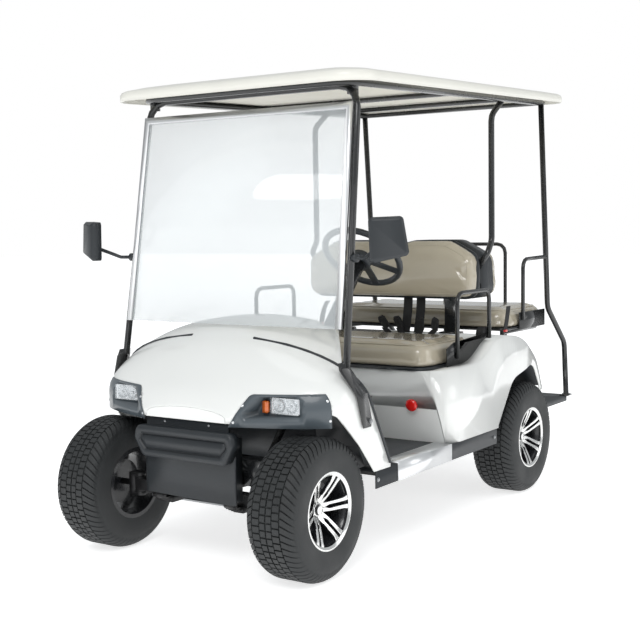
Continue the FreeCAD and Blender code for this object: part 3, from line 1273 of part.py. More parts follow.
def parts_list():
    parts = {}
    for name, centre_x, axle_y, side, turn in wheel_places():
        parts["tyre_" + name] = [tyre(centre_x, axle_y)]
        parts["rim_" + name] = [rim(centre_x, axle_y, side, turn)]
    parts["front_axle"] = [front_axle()]
    parts["knuckle_left"] = [knuckle(1)]
    parts["knuckle_right"] = [knuckle(-1)]
    parts["tie_rod"] = [tie_rod()]
    parts["pitman_arm"] = [pitman_arm()]
    parts["suspension"] = suspension()
    parts["rear_axle"] = [rear_axle()]
    parts["drive_motor"] = [drive_motor()]
    parts["battery_block"] = [battery_block()]
    parts["chassis_frame"] = [chassis_frame()]
    parts["front_cowl"] = [front_cowl()]
    parts["headlamp_bezels"] = both_sides(headlamp_bezel())
    parts["headlamp_lenses"] = both_sides(lamp_lens(319, 441, 588, 648, 12))
    parts["indicator_lenses"] = both_sides(lamp_lens(286, 310, 590, 634, 16))
    parts["front_bumper"] = [front_bumper()]
    parts["front_shield"] = [front_shield()]
    parts["floor_pan"] = [floor_pan()]
    parts["floor_mat"] = [floor_mat()]
    parts["dashboard"] = [dashboard()]
    parts["pedals"] = pedals()
    parts["steering_column"] = [steering_column()]
    parts["steering_wheel"] = [steering_wheel()]
    parts["rear_body"] = [rear_body()]
    parts["wheel_liners"] = both_sides(wheel_liner_rear()) + both_sides(wheel_liner_front())
    parts["rocker_panels"] = both_sides(rocker_panel())
    parts["step_plates"] = both_sides(step_plate())
    parts["emergency_button"] = [emergency_button()]
    parts["front_seat_cushion"] = [front_seat_cushion()]
    parts["front_seat_base"] = [front_seat_base()]
    parts["backrest_pads"] = backrest_pads()
    parts["backrest_shells"] = backrest_shells()
    parts["seat_frame"] = seat_frame()
    parts["rear_seat_pan"] = [rear_seat_pan()]
    parts["rear_seat_cushion"] = [rear_seat_cushion()]
    parts["hip_restraints"] = both_sides(hip_restraint())
    parts["roof_shell"] = [roof_shell()]
    parts["roof_liner"] = [roof_liner()]
    parts["roof_frame"] = [roof_frame()]
    parts["roof_struts"] = roof_struts()
    parts["windscreen"] = [windscreen()]
    parts["windscreen_channels"] = [windscreen_channels()]
    parts["mirrors"] = both_sides(mirror())
    parts["footplate"] = [footplate()]
    parts["grab_hoop"] = [grab_hoop()]
    parts["seat_belts"] = seat_belts()
    return parts


def main():
    os.makedirs("parts", exist_ok=True)
    for name, shapes in parts_list().items():
        shape = Part.makeCompound(shapes) if len(shapes) > 1 else shapes[0]
        shape.translate(vec(0, -ORIGIN_Y, 0))
        shape.exportStep("parts/" + name + ".step")
        room = shape.BoundBox
        print(name, [round(value) for value in (room.XMin, room.XMax, room.YMin, room.YMax, room.ZMin, room.ZMax)],
              shape.isValid(), len(shape.Solids))


main()
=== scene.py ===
"""The looks of a four-seat golf cart, built around its fixed frame. Lengths are in metres."""
import json
import math
import bmesh
import bpy
from mathutils import Matrix, Vector
from mathutils.bvhtree import BVHTree
from mathutils.noise import noise


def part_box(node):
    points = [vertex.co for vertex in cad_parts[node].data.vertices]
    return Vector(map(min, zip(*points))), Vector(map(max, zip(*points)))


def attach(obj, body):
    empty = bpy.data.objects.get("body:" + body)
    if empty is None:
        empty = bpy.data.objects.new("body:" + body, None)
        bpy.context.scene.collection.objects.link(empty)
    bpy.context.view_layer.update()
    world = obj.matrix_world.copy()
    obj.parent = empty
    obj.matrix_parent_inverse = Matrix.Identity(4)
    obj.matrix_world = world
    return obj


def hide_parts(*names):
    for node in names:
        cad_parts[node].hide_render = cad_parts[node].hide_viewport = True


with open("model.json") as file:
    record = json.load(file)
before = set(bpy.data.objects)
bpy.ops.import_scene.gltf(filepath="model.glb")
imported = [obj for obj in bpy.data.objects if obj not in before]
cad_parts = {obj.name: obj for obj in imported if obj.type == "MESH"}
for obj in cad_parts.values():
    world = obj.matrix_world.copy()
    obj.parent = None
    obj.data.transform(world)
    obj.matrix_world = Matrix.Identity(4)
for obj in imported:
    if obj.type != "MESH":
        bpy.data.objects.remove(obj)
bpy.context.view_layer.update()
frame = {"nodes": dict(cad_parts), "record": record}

# Camera
CAMERA_PLACE = (2.754, -4.378, 1.254)
CAMERA_YAW = 33.8
CAMERA_PITCH = 4.61
CAMERA_ROLL = -0.79
CAMERA_LENS = 65.06
SENSOR_WIDTH = 36

# Tyres and rims
TREAD_PITCHES = 60
TREAD_DEPTH = 0.006
TREAD_WALL = 0.05
SPOKE_PAIRS = 6
SPOKE_STATIONS = 17
SPOKE_END_INSET = 0.007
SLOT_START = 0.042
SLOT_HALF_WIDTH = 0.0065
HUB_RECESS = 0.058
HUB_CAP_HEIGHT = 0.017
WHEEL_TURNS = {"front_left": 26, "front_right": 0, "rear_left": 0, "rear_right": 0}
LATHE_STEPS = 96

# Padding
PAD_VOXEL = 0.009
PAD_PRESSURE = 4.0
PAD_FRAMES = 20
PIPING_RADIUS = 0.0032
CREASE_DEPTH = 0.0016

# Shading
SMOOTH_ANGLE = 32
TREAD_ANGLE = 28
NODE_ANGLE = 30
WELD_DISTANCE = 0.00001

# Lamps
LAMP_INNER_X = 0.319

# Mirrors
MIRROR_CENTRE = (0.706, -0.900, 1.206)
MIRROR_TURN = 30

# Body walls
WALL_SKIN = 0.004
WALL_SET_BACK = 0.0004
POD_FOOT = (-0.1740, 0.3543)
POD_HEAD = (-0.2230, 0.6550)
POD_WALL_TOP = 0.505
POD_WALL_ROWS = 9
POD_CORNER = (0.455, -0.093)
POD_CORNER_RADIUS = 0.130
NOSE_Y = -1.165
NOSE_HALF_WIDTH = 0.1895
NOSE_BASE = 0.5555
NOSE_SIDE = 0.572
NOSE_RISE = 0.0335
NOSE_STEPS = 24

# Light
AMBIENT = 0.55
FLOOR_GLOW = 0.70
FLOOR_HALF = 40
VIEW_REACH = 200


# Materials

def node_of(tree, kind, **inputs):
    node = tree.nodes.new(kind)
    for name, value in inputs.items():
        node.inputs[name.replace("_", " ")].default_value = value
    return node


def object_coordinates(tree, stretch):
    """Texture coordinates in metres, stretched along an axis for brushed or woven looks."""
    place = tree.nodes.new("ShaderNodeTexCoord")
    mapping = tree.nodes.new("ShaderNodeMapping")
    mapping.inputs["Scale"].default_value = stretch
    tree.links.new(place.outputs["Object"], mapping.inputs["Vector"])
    return mapping.outputs["Vector"]


def vary(tree, shader, where, colour, mottle, mottle_scale):
    """Lets the colour drift a little between a lighter and a darker tone."""
    cloud = node_of(tree, "ShaderNodeTexNoise", Scale=mottle_scale, Detail=4.0)
    ramp = tree.nodes.new("ShaderNodeValToRGB")
    ramp.color_ramp.elements[0].position = 0.3
    ramp.color_ramp.elements[1].position = 0.7
    ramp.color_ramp.elements[0].color = [value * (1 - mottle) for value in colour] + [1]
    ramp.color_ramp.elements[1].color = [min(value * (1 + mottle), 1) for value in colour] + [1]
    tree.links.new(where, cloud.inputs["Vector"])
    tree.links.new(cloud.outputs["Fac"], ramp.inputs["Fac"])
    tree.links.new(ramp.outputs["Color"], shader.inputs["Base Color"])
    return cloud.outputs["Fac"]


def vary_roughness(tree, shader, cloud, roughness, spread):
    span = node_of(tree, "ShaderNodeMapRange")
    span.inputs["From Min"].default_value = 0.3
    span.inputs["From Max"].default_value = 0.7
    span.inputs["To Min"].default_value = max(roughness - spread, 0.02)
    span.inputs["To Max"].default_value = roughness + spread
    tree.links.new(cloud, span.inputs["Value"])
    tree.links.new(span.outputs["Result"], shader.inputs["Roughness"])


def relief(tree, shader, where, pattern, scale, depth):
    """A bump from grain or from leather cells."""
    if pattern == "grain":
        source = node_of(tree, "ShaderNodeTexNoise", Scale=scale, Detail=3.0)
        height = source.outputs["Fac"]
    else:
        source = node_of(tree, "ShaderNodeTexVoronoi", Scale=scale)
        height = source.outputs["Distance"]
    bump = node_of(tree, "ShaderNodeBump", Strength=1.0, Distance=depth)
    tree.links.new(where, source.inputs["Vector"])
    tree.links.new(height, bump.inputs["Height"])
    tree.links.new(bump.outputs["Normal"], shader.inputs["Normal"])


def make_finish(name, colour, roughness, metallic=0.0, coat=0.0, mottle=0.03, mottle_scale=6.0, spread=0.04,
                pattern="grain", scale=900.0, depth=0.00008, stretch=(1, 1, 1), alpha=1.0):
    """One procedural material: a drifting colour and roughness over a fine relief."""
    material = bpy.data.materials.new(name)
    material.use_nodes = True
    tree = material.node_tree
    shader = tree.nodes["Principled BSDF"]
    shader.inputs["Metallic"].default_value = metallic
    shader.inputs["Coat Weight"].default_value = coat
    shader.inputs["Coat Roughness"].default_value = 0.06
    shader.inputs["Alpha"].default_value = alpha
    where = object_coordinates(tree, stretch)
    cloud = vary(tree, shader, where, colour, mottle, mottle_scale)
    vary_roughness(tree, shader, cloud, roughness, spread)
    relief(tree, shader, where, pattern, scale, depth)
    return material


def make_finishes():
    """A material for each slot of the record, and a few more for the scene's own pieces."""
    return {
        "body_paint": make_finish("body_paint", (0.86, 0.87, 0.85), 0.16, coat=0.6, mottle=0.012,
                                  mottle_scale=2.0, scale=420.0, depth=0.00003),
        "roof_plastic": make_finish("roof_plastic", (0.76, 0.75, 0.69), 0.34, coat=0.15, mottle=0.02,
                                    scale=700.0, depth=0.00006),
        "liner_plastic": make_finish("liner_plastic", (0.70, 0.68, 0.60), 0.6, scale=500.0, depth=0.0002),
        "frame_paint": make_finish("frame_paint", (0.012, 0.013, 0.014), 0.26, coat=0.35, scale=1500.0),
        "chassis_paint": make_finish("chassis_paint", (0.014, 0.014, 0.015), 0.5, mottle=0.3,
                                     mottle_scale=14.0, spread=0.12, scale=600.0, depth=0.0002),
        "black_plastic": make_finish("black_plastic", (0.020, 0.024, 0.028), 0.42, mottle=0.08,
                                     pattern="cells", scale=1100.0, depth=0.00012),
        "seat_vinyl": make_finish("seat_vinyl", (0.47, 0.42, 0.325), 0.22, coat=0.9, mottle=0.05,
                                  mottle_scale=5.0, spread=0.05, pattern="cells", scale=650.0, depth=0.00008),
        "slate": make_finish("slate", (0.075, 0.092, 0.105), 0.36, coat=0.2, mottle=0.06, scale=1100.0),
        "tyre_rubber": make_finish("tyre_rubber", (0.022, 0.024, 0.025), 0.62, mottle=0.2, mottle_scale=11.0,
                                   spread=0.1, scale=700.0, depth=0.0002),
        "rim_metal": make_finish("rim_metal", (0.80, 0.80, 0.79), 0.2, metallic=1.0, mottle=0.03, scale=400.0,
                                 depth=0.00003, stretch=(1, 6, 6)),
        "rim_dark": make_finish("rim_dark", (0.016, 0.017, 0.019), 0.25, coat=0.4, scale=900.0),
        "lamp_glass": make_finish("lamp_glass", (0.80, 0.84, 0.86), 0.05, alpha=0.22, spread=0.01, coat=1.0,
                                  scale=60.0, depth=0.0006, stretch=(4, 1, 0.2)),
        "lamp_silver": make_finish("lamp_silver", (0.62, 0.64, 0.66), 0.16, metallic=1.0, mottle=0.2,
                                   mottle_scale=60.0, scale=120.0, depth=0.0006, stretch=(4, 1, 0.4)),
        "indicator_glass": make_finish("indicator_glass", (0.85, 0.17, 0.015), 0.12, coat=1.0, scale=90.0,
                                       depth=0.0005, stretch=(1, 1, 6)),
        "screen_glass": make_finish("screen_glass", (0.86, 0.91, 0.93), 0.05, alpha=0.36, mottle=0.01,
                                    spread=0.01, coat=1.0, depth=0.00001),
        "bright_aluminium": make_finish("bright_aluminium", (0.80, 0.81, 0.82), 0.32, metallic=0.9,
                                        scale=500.0, depth=0.00006, stretch=(1, 1, 0.05)),
        "mat_rubber": make_finish("mat_rubber", (0.055, 0.060, 0.064), 0.6, mottle=0.15, pattern="cells",
                                  scale=160.0, depth=0.0008),
        "red_plastic": make_finish("red_plastic", (0.72, 0.012, 0.010), 0.2, coat=0.5, scale=900.0),
        "steel": make_finish("steel", (0.36, 0.37, 0.38), 0.32, metallic=1.0, mottle=0.15, scale=500.0),
        "belt_black": make_finish("belt_black", (0.013, 0.013, 0.014), 0.75, scale=1800.0, depth=0.0003,
                                  stretch=(1, 1, 3)),
        "battery_case": make_finish("battery_case", (0.020, 0.020, 0.022), 0.55, pattern="cells",
                                    scale=900.0),
        "mirror_glass": make_finish("mirror_glass", (0.9, 0.9, 0.92), 0.03, metallic=1.0, mottle=0.0,
                                    spread=0.01, depth=0.00001),
        "floor": make_finish("floor", (0.93, 0.93, 0.93), 0.6, mottle=0.004, depth=0.00002),
    }


finishes = make_finishes()


# Mesh helpers

def add_object(name, mesh):
    thing = bpy.data.objects.new(name, mesh)
    bpy.context.scene.collection.objects.link(thing)
    return thing


def shade(mesh, angle=SMOOTH_ANGLE):
    mesh.shade_smooth()
    mesh.set_sharp_from_angle(angle=math.radians(angle))


def make_piece(name, body, looks, points, faces, face_looks=None, angle=SMOOTH_ANGLE, slot=None):
    """A mesh with outward normals that rides on a body. Face looks give each face its material."""
    mesh = bpy.data.meshes.new(name)
    mesh.from_pydata([tuple(point) for point in points], [], faces)
    for look in looks:
        mesh.materials.append(finishes[look])
    if face_looks:
        mesh.polygons.foreach_set("material_index", face_looks)
    form = bmesh.new()
    form.from_mesh(mesh)
    bmesh.ops.recalc_face_normals(form, faces=form.faces)
    form.to_mesh(mesh)
    form.free()
    shade(mesh, angle)
    piece = add_object(name, mesh)
    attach(piece, body)
    return piece


def wrap_faces(rows, columns):
    """Quads of a grid that closes on itself along its columns."""
    faces = []
    for row in range(rows - 1):
        for column in range(columns):
            ahead = (column + 1) % columns
            faces.append((row * columns + column, row * columns + ahead,
                          (row + 1) * columns + ahead, (row + 1) * columns + column))
    return faces


def capped_faces(rows, columns):
    """The quads of such a grid, and a face over each end."""
    last = (rows - 1) * columns
    return wrap_faces(rows, columns) + [tuple(range(columns)), tuple(range(last, last + columns))]


def joined(groups):
    """Points and faces of several closed shapes, as one list of each and the group of each face."""
    points, faces, owners = [], [], []
    for owner, (group_points, group_faces) in enumerate(groups):
        start = len(points)
        points += group_points
        faces += [tuple(start + index for index in face) for face in group_faces]
        owners += [owner] * len(group_faces)
    return points, faces, owners


def wheel_point(centre, side, depth, radius, angle):
    """A point of a wheel: depth is outwards from the wheel's middle, the angle starts at the top."""
    return Vector((centre.x + side * depth, centre.y + radius * math.sin(angle),
                   centre.z + radius * math.cos(angle)))


def lathe(centre, side, profile, steps=LATHE_STEPS):
    """A profile of (depth, radius) turned about a wheel's axle and closed on itself."""
    ring = profile + [profile[0]]
    points = [wheel_point(centre, side, depth, radius, 2 * math.pi * step / steps)
              for depth, radius in ring for step in range(steps)]
    return points, wrap_faces(len(ring), steps)


# Wheels

def tread_rows(half_width, outer):
    """Rows across a tyre from bead to bead: depth, radius, how much a block rises and its sweep."""
    low = outer - TREAD_DEPTH
    half = [(0.0885, 0.1335, 0, 0), (0.0965, 0.1400, 0, 0), (0.1000, 0.1560, 0, 0), (0.1018, 0.1760, 0, 0),
            (half_width, 0.1920, 0, 0), (0.1008, 0.2060, 0, 0), (0.0985, 0.2150, 0, 0)]
    lug = [(0.0975, 0.2180, 0, -1.30), (0.0965, 0.2200, 1, -1.26), (0.0920, 0.2300, 1, -1.00),
           (0.0840, 0.2395, 1, -0.66), (0.0720, 0.2462, 1, -0.32), (0.0590, low - 0.0006, 1, -0.08),
           (0.0575, low, 0, -0.05)]
    rows = half + lug
    for inner, edge, shift in ((0.0275, 0.0545, 0.5), (0.0030, 0.0235, 0.0)):
        rows += [(edge + 0.0008, low, 0, shift), (edge, low, 1, shift), (inner, low, 1, shift),
                 (inner - 0.0008, low, 0, shift)]
    mirrored = [(-depth, radius, rise, sweep) for depth, radius, rise, sweep in reversed(rows)]
    return rows + mirrored


def tyre(place):
    """A ring whose tread has rows of blocks between grooves and swept lugs over the shoulders."""
    low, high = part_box("tyre_" + place)
    centre = (low + high) / 2
    side = math.copysign(1, centre.x)
    rows = tread_rows((high.x - low.x) / 2, (high.z - low.z) / 2)
    phases = ((0.0, 0), (0.14, 0), (0.14 + TREAD_WALL, 1), (1 - TREAD_WALL, 1))
    points = []
    for depth, radius, rise, sweep in rows:
        for pitch in range(TREAD_PITCHES):
            for phase, raised in phases:
                angle = 2 * math.pi * (pitch + phase + sweep) / TREAD_PITCHES
                points.append(wheel_point(centre, side, depth, radius + TREAD_DEPTH * rise * raised, angle))
    columns = TREAD_PITCHES * len(phases)
    faces = wrap_faces(len(rows), columns)
    last = (len(rows) - 1) * columns
    faces += [(last + column, last + (column + 1) % columns, (column + 1) % columns, column)
              for column in range(columns)]
    piece = make_piece("tyre_tread_" + place, "wheel_" + place, ["tyre_rubber"], points, faces, angle=TREAD_ANGLE)
    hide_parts("tyre_" + place)


def spoke_bar(centre, side, lip, angle, lean):
    """One bar of a split spoke, which joins its twin inside the slot's start and flares at the rim."""
    points = []
    for station in range(SPOKE_STATIONS):
        share = station / (SPOKE_STATIONS - 1)
        radius = 0.016 + share * 0.110
        front = lip - SPOKE_END_INSET - (HUB_RECESS - SPOKE_END_INSET) * (1 - share) ** 1.25
        gap = SLOT_HALF_WIDTH * min(1, max(0, (radius - SLOT_START) / 0.010)) ** 0.5
        edge = 0.0165 + 0.0045 * share + 0.006 * max(0, share - 0.85) / 0.15
        middle = lean * (gap + edge) / 2
        width = edge - gap
        for across, back in ((-0.5, 0.002), (-0.40, 0), (0.40, 0), (0.5, 0.002), (0.5, 0.015), (-0.5, 0.015)):
            offset = middle + across * width
            out = wheel_point(centre, side, front - back, radius, angle)
            points.append(out + Vector((0, math.cos(angle), -math.sin(angle))) * offset)
    return points, capped_faces(SPOKE_STATIONS, 6)


def rim_shapes(centre, side, lip, turn):
    """The bright shapes of a rim: its lip, hub and cap, then the split spokes."""
    ring = [(lip, 0.1345), (lip - 0.0008, 0.1400), (lip - 0.006, 0.1405), (lip - 0.010, 0.1300),
            (lip - 0.016, 0.1290), (lip - 0.016, 0.1250), (lip - 0.006, 0.1262), (lip - 0.002, 0.1310)]
    hub_face = lip - HUB_RECESS
    hub = [(hub_face + 0.001, 0.0), (hub_face + 0.001, 0.030), (hub_face - 0.004, 0.036),
           (hub_face - 0.014, 0.038), (hub_face - 0.014, 0.0)]
    top = hub_face + HUB_CAP_HEIGHT
    cap = [(top, 0.0), (top - 0.0005, 0.012), (top - 0.002, 0.0175), (top - 0.006, 0.0195),
           (hub_face + 0.005, 0.0200), (hub_face + 0.003, 0.0260), (hub_face - 0.002, 0.0270),
           (hub_face - 0.002, 0.0)]
    shapes = [lathe(centre, side, ring), lathe(centre, side, hub, 48), lathe(centre, side, cap, 48)]
    for pair in range(SPOKE_PAIRS):
        angle = 2 * math.pi * pair / SPOKE_PAIRS + math.radians(turn)
        shapes += [spoke_bar(centre, side, lip, angle, lean) for lean in (-1, 1)]
    return shapes


def rim(place, turn):
    """A split-spoke rim: machined faces, dark pockets, a barrel and the brake drum behind."""
    low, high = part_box("rim_" + place)
    centre = (low + high) / 2
    side = math.copysign(1, centre.x)
    lip = (high.x - low.x) / 2
    points, faces, _ = joined(rim_shapes(centre, side, lip, turn))
    mesh = bpy.data.meshes.new("facing")
    mesh.from_pydata([tuple(point) for point in points], [], faces)
    dark = [0 if abs(face.normal.x) > 0.5 or face.area < 2e-6 else 1 for face in mesh.polygons]
    bpy.data.meshes.remove(mesh)
    bright = make_piece("rim_spokes_" + place, "wheel_" + place, ["rim_metal", "rim_dark"], points, faces, dark)
    barrel = [(lip - 0.006, 0.1400), (lip - 0.008, 0.1305), (-lip + 0.008, 0.1305), (-lip, 0.1400),
              (-lip, 0.1240), (-lip + 0.020, 0.1200), (lip - 0.060, 0.1200), (lip - 0.020, 0.1240),
              (lip - 0.012, 0.1300)]
    back = lip - HUB_RECESS - 0.016
    drum = [(back, 0.0), (back, 0.080), (back - 0.006, 0.086), (back - 0.052, 0.086), (back - 0.052, 0.0)]
    points, faces, _ = joined([lathe(centre, side, barrel), lathe(centre, side, drum)])
    make_piece("rim_barrel_" + place, "wheel_" + place, ["rim_dark"], points, faces, slot="rim_metal")
    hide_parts("rim_" + place)


# Padding

def evaluated_mesh(thing):
    graph = bpy.context.evaluated_depsgraph_get()
    return bpy.data.meshes.new_from_object(thing.evaluated_get(graph))


def remeshed(mesh, voxel, rounds):
    """The same form as an even skin, with its edges softened."""
    thing = add_object("remesh", mesh)
    skin = thing.modifiers.new("skin", "REMESH")
    skin.mode = "VOXEL"
    skin.voxel_size = voxel
    soften = thing.modifiers.new("soften", "SMOOTH")
    soften.factor = 0.5
    soften.iterations = rounds
    result = evaluated_mesh(thing)
    bpy.data.objects.remove(thing)
    return result


def inflate(thing, held, cap):
    """Swells a skin by cloth under pressure. Held points stay, and no other moves further than the cap."""
    rest = [vertex.co.copy() for vertex in thing.data.vertices]
    group = thing.vertex_groups.new(name="held")
    group.add([index for index, point in enumerate(rest) if held(point)], 1.0, "REPLACE")
    cloth = thing.modifiers.new("swell", "CLOTH")
    cloth.settings.use_pressure = True
    cloth.settings.uniform_pressure_force = PAD_PRESSURE
    cloth.settings.effector_weights.gravity = 0
    cloth.settings.vertex_group_mass = "held"
    scene = bpy.context.scene
    for step in range(1, PAD_FRAMES + 1):
        scene.frame_set(step)
    swollen = evaluated_mesh(thing)
    for vertex, start, moved in zip(thing.data.vertices, rest, swollen.vertices):
        move = moved.co - start
        vertex.co = start + move * min(1, cap / max(move.length, 1e-6))
    thing.modifiers.remove(cloth)
    thing.vertex_groups.remove(group)
    bpy.data.meshes.remove(swollen)
    scene.frame_set(1)


def wrinkle(mesh, facing, strength):
    """Shallow creases where vinyl is pulled round the corners."""
    for vertex in mesh.vertices:
        spot = vertex.co * 17
        crease = noise(Vector((spot.x * 0.6, spot.y * 1.7, spot.z * 1.7))) * strength
        vertex.co += vertex.normal * crease * facing(vertex.co)


def finish_pad(name, body, mesh, nodes, held, cap, creases):
    """Turns a soft form into a padded piece: skin, swelling, creases and a last subdivision."""
    skin = remeshed(mesh, PAD_VOXEL, 6)
    skin.name = name
    pad = add_object(name, skin)
    inflate(pad, held, cap)
    wrinkle(skin, creases, CREASE_DEPTH)
    skin.materials.clear()
    skin.materials.append(finishes["seat_vinyl"])
    skin.shade_smooth()
    smooth = pad.modifiers.new("smooth", "SUBSURF")
    smooth.levels = 1
    smooth.render_levels = 1
    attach(pad, body)
    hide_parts(*nodes)
    return pad


def rounded_outline(x_half, y_low, y_high, corner, steps=9):
    """Corner arcs of a rectangle seen from above, as (x, y)."""
    outline = []
    centres = ((x_half - corner, y_high - corner, 0), (-x_half + corner, y_high - corner, 90),
               (-x_half + corner, y_low + corner, 180), (x_half - corner, y_low + corner, 270))
    for x, y, start in centres:
        for step in range(steps):
            angle = math.radians(start + 90 * step / (steps - 1))
            outline.append((x + corner * math.cos(angle), y + corner * math.sin(angle)))
    return outline


def stacked_form(levels):
    """A closed form from outlines of equal length, one above another."""
    columns = len(levels[0])
    points = [point for level in levels for point in level]
    mesh = bpy.data.meshes.new("form")
    mesh.from_pydata([tuple(point) for point in points], [], capped_faces(len(levels), columns))
    form = bmesh.new()
    form.from_mesh(mesh)
    bmesh.ops.recalc_face_normals(form, faces=form.faces)
    bmesh.ops.triangulate(form, faces=[face for face in form.faces if len(face.verts) > 4])
    form.to_mesh(mesh)
    form.free()
    return mesh


def piping(name, body, pad, route, direction, look="seat_vinyl", radius=PIPING_RADIUS,
           closed=True):
    """A welt that follows a route laid on a piece's surface."""
    tree = BVHTree.FromObject(pad, bpy.context.evaluated_depsgraph_get())
    curve = bpy.data.curves.new(name, "CURVE")
    curve.dimensions = "3D"
    curve.bevel_depth = radius
    curve.bevel_resolution = 2
    curve.use_fill_caps = True
    hits = []
    for spot in route:
        hit = tree.ray_cast(spot - direction * 0.3, direction)[0]
        if hit:
            hits.append(hit)
    spline = curve.splines.new("POLY")
    spline.points.add(len(hits) - 1)
    for point, hit in zip(spline.points, hits):
        point.co = (*(hit - direction * radius * 0.3), 1)
    spline.use_cyclic_u = closed
    welt = add_object(name, curve)
    curve.materials.append(finishes[look])
    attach(welt, body)


def seat_cushion(name, body, node, corner):
    """A crowned seat cushion with a welt round its top panel."""
    low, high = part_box(node)
    x_half = high.x - 0.006
    levels = []
    for inset, share in ((0.006, 0.0), (0.001, 0.12), (0.0, 0.45), (0.003, 0.68), (0.012, 0.86),
                         (0.030, 0.955), (0.075, 0.995)):
        z = low.z + 0.001 + (high.z - low.z - 0.010) * share
        outline = rounded_outline(x_half - inset, low.y + 0.006 + inset, high.y - 0.006 - inset,
                                  max(corner - inset * 0.5, 0.02))
        levels.append([Vector((x, y, z)) for x, y in outline])
    pad = finish_pad(name, body, stacked_form(levels), [node], lambda point: point.z < low.z + 0.022, 0.008,
                     lambda point: min(1, max(0, abs(point.x) - x_half + 0.16) * 9))
    seam = rounded_outline(x_half - 0.034, low.y + 0.040, high.y - 0.040, max(corner - 0.02, 0.02), 14)
    route = [Vector((x, y, high.z)) for x, y in seam]
    piping(name + "_welt", body, pad, route, Vector((0, 0, -1)))


def filleted(corners, steps=8):
    """A closed outline from corners of (a, b, radius), each one rounded."""
    outline = []
    for index, (a, b, radius) in enumerate(corners):
        corner = Vector((a, b))
        back = (Vector(corners[index - 1][:2]) - corner).normalized()
        ahead = (Vector(corners[(index + 1) % len(corners)][:2]) - corner).normalized()
        reach = radius / math.tan(back.angle(ahead) / 2)
        start, end = corner + back * reach, corner + ahead * reach
        for step in range(steps + 1):
            share = step / steps
            outline.append(start.lerp(corner, share).lerp(corner.lerp(end, share), share))
    return outline


def backrest_rim(half, bottom, top):
    """The two-humped back seen from the front."""
    return filleted([(-half, bottom, 0.060), (half, bottom, 0.060), (half, top - 0.070, 0.070),
                     (half - 0.130, top, 0.090), (0.120, top, 0.120), (0, top - 0.026, 0.120),
                     (-0.120, top, 0.120), (-half + 0.130, top, 0.090), (-half, top - 0.070, 0.070)])


def backrest(name, facing, back_bottom, back_top):
    """A padded back that bows towards its sitter from a leaning plane."""
    low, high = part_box("backrest_pads")
    middle = (low.z + high.z) / 2
    rim = backrest_rim(high.x, low.z, high.z)
    squeeze = (high.z - low.z) / 2 / high.x

    def spot(point, shrink, share):
        x = point.x * (1 - shrink * squeeze)
        z = middle + (point.y - middle) * (1 - shrink)
        height = (z - low.z) / (high.z - low.z)
        back = back_bottom + (back_top - back_bottom) * height
        depth = 0.036 + 0.036 * math.sin(math.pi * min(1, 0.08 + 0.9 * height))
        return Vector((x, back + facing * depth * share, z))

    steps = ((0.0, 0.0), (0.0, 0.40), (0.015, 0.66), (0.05, 0.84), (0.12, 0.94), (0.25, 0.985), (0.45, 1.0),
             (0.70, 1.0), (0.92, 1.0))
    levels = [[spot(point, shrink, share) for point in rim] for shrink, share in steps]
    behind = max(back_bottom, back_top) if facing < 0 else min(back_bottom, back_top)

    def creased(point):
        return min(1, max(0, abs(point.x) - high.x + 0.13) * 9 + max(0, low.z + 0.05 - point.z) * 9)

    pad = finish_pad(name, "cart", stacked_form(levels), ["backrest_pads"],
                     lambda point: (point.y - behind) * facing < 0.024, 0.006, creased)
    route = [spot(point, 0.17, 1.0) for point in rim]
    piping(name + "_seam", "cart", pad, route, Vector((0, -facing, 0)), radius=0.0018)


# Details

def turned_form(base, axis, profile, steps=16):
    """A profile of (height, radius) turned about an axis, with closed ends."""
    turn = Vector(axis).to_track_quat("Z", "Y").to_matrix()
    points = []
    for height, radius in profile:
        for step in range(steps):
            angle = 2 * math.pi * step / steps
            spot = Vector((radius * math.cos(angle), radius * math.sin(angle), height))
            points.append(Vector(base) + turn @ spot)
    return points, capped_faces(len(profile), steps)


def rounded_block(place, size, corner, bevel):
    """A block with round upright corners and bevelled ends, moved by a matrix."""
    half = [length / 2 for length in size]
    points = []
    for z, inset in ((-half[2], bevel), (bevel - half[2], 0), (half[2] - bevel, 0), (half[2], bevel)):
        radius = max(corner - inset, 0.0005)
        outline = rounded_outline(half[0] - inset, inset - half[1], half[1] - inset, radius, 5)
        points += [place @ Vector((x, y, z)) for x, y in outline]
    return points, capped_faces(4, len(points) // 4)


def ribbon(route, across, width, thickness):
    """A strap that follows a route, with its width along one direction."""
    points = []
    for index, spot in enumerate(route):
        ahead = route[min(index + 1, len(route) - 1)] - route[max(index - 1, 0)]
        lift = ahead.cross(across).normalized() * thickness / 2
        side = across.normalized() * width / 2
        points += [spot - side - lift, spot + side - lift, spot + side + lift, spot - side + lift]
    return points, capped_faces(len(route), 4)


def bowed(start, middle, end, steps=10):
    """A soft curve between two points, drawn towards a third."""
    start, middle, end = Vector(start), Vector(middle), Vector(end)
    shares = [step / steps for step in range(steps + 1)]
    return [start.lerp(middle, share).lerp(middle.lerp(end, share), share) for share in shares]


def surface_of(node):
    return BVHTree.FromObject(frame["nodes"][node], bpy.context.evaluated_depsgraph_get())


def both(spots):
    """The spots and their mirror images."""
    return [Vector(spot) for spot in spots] + [Vector((-spot[0], spot[1], spot[2])) for spot in spots]


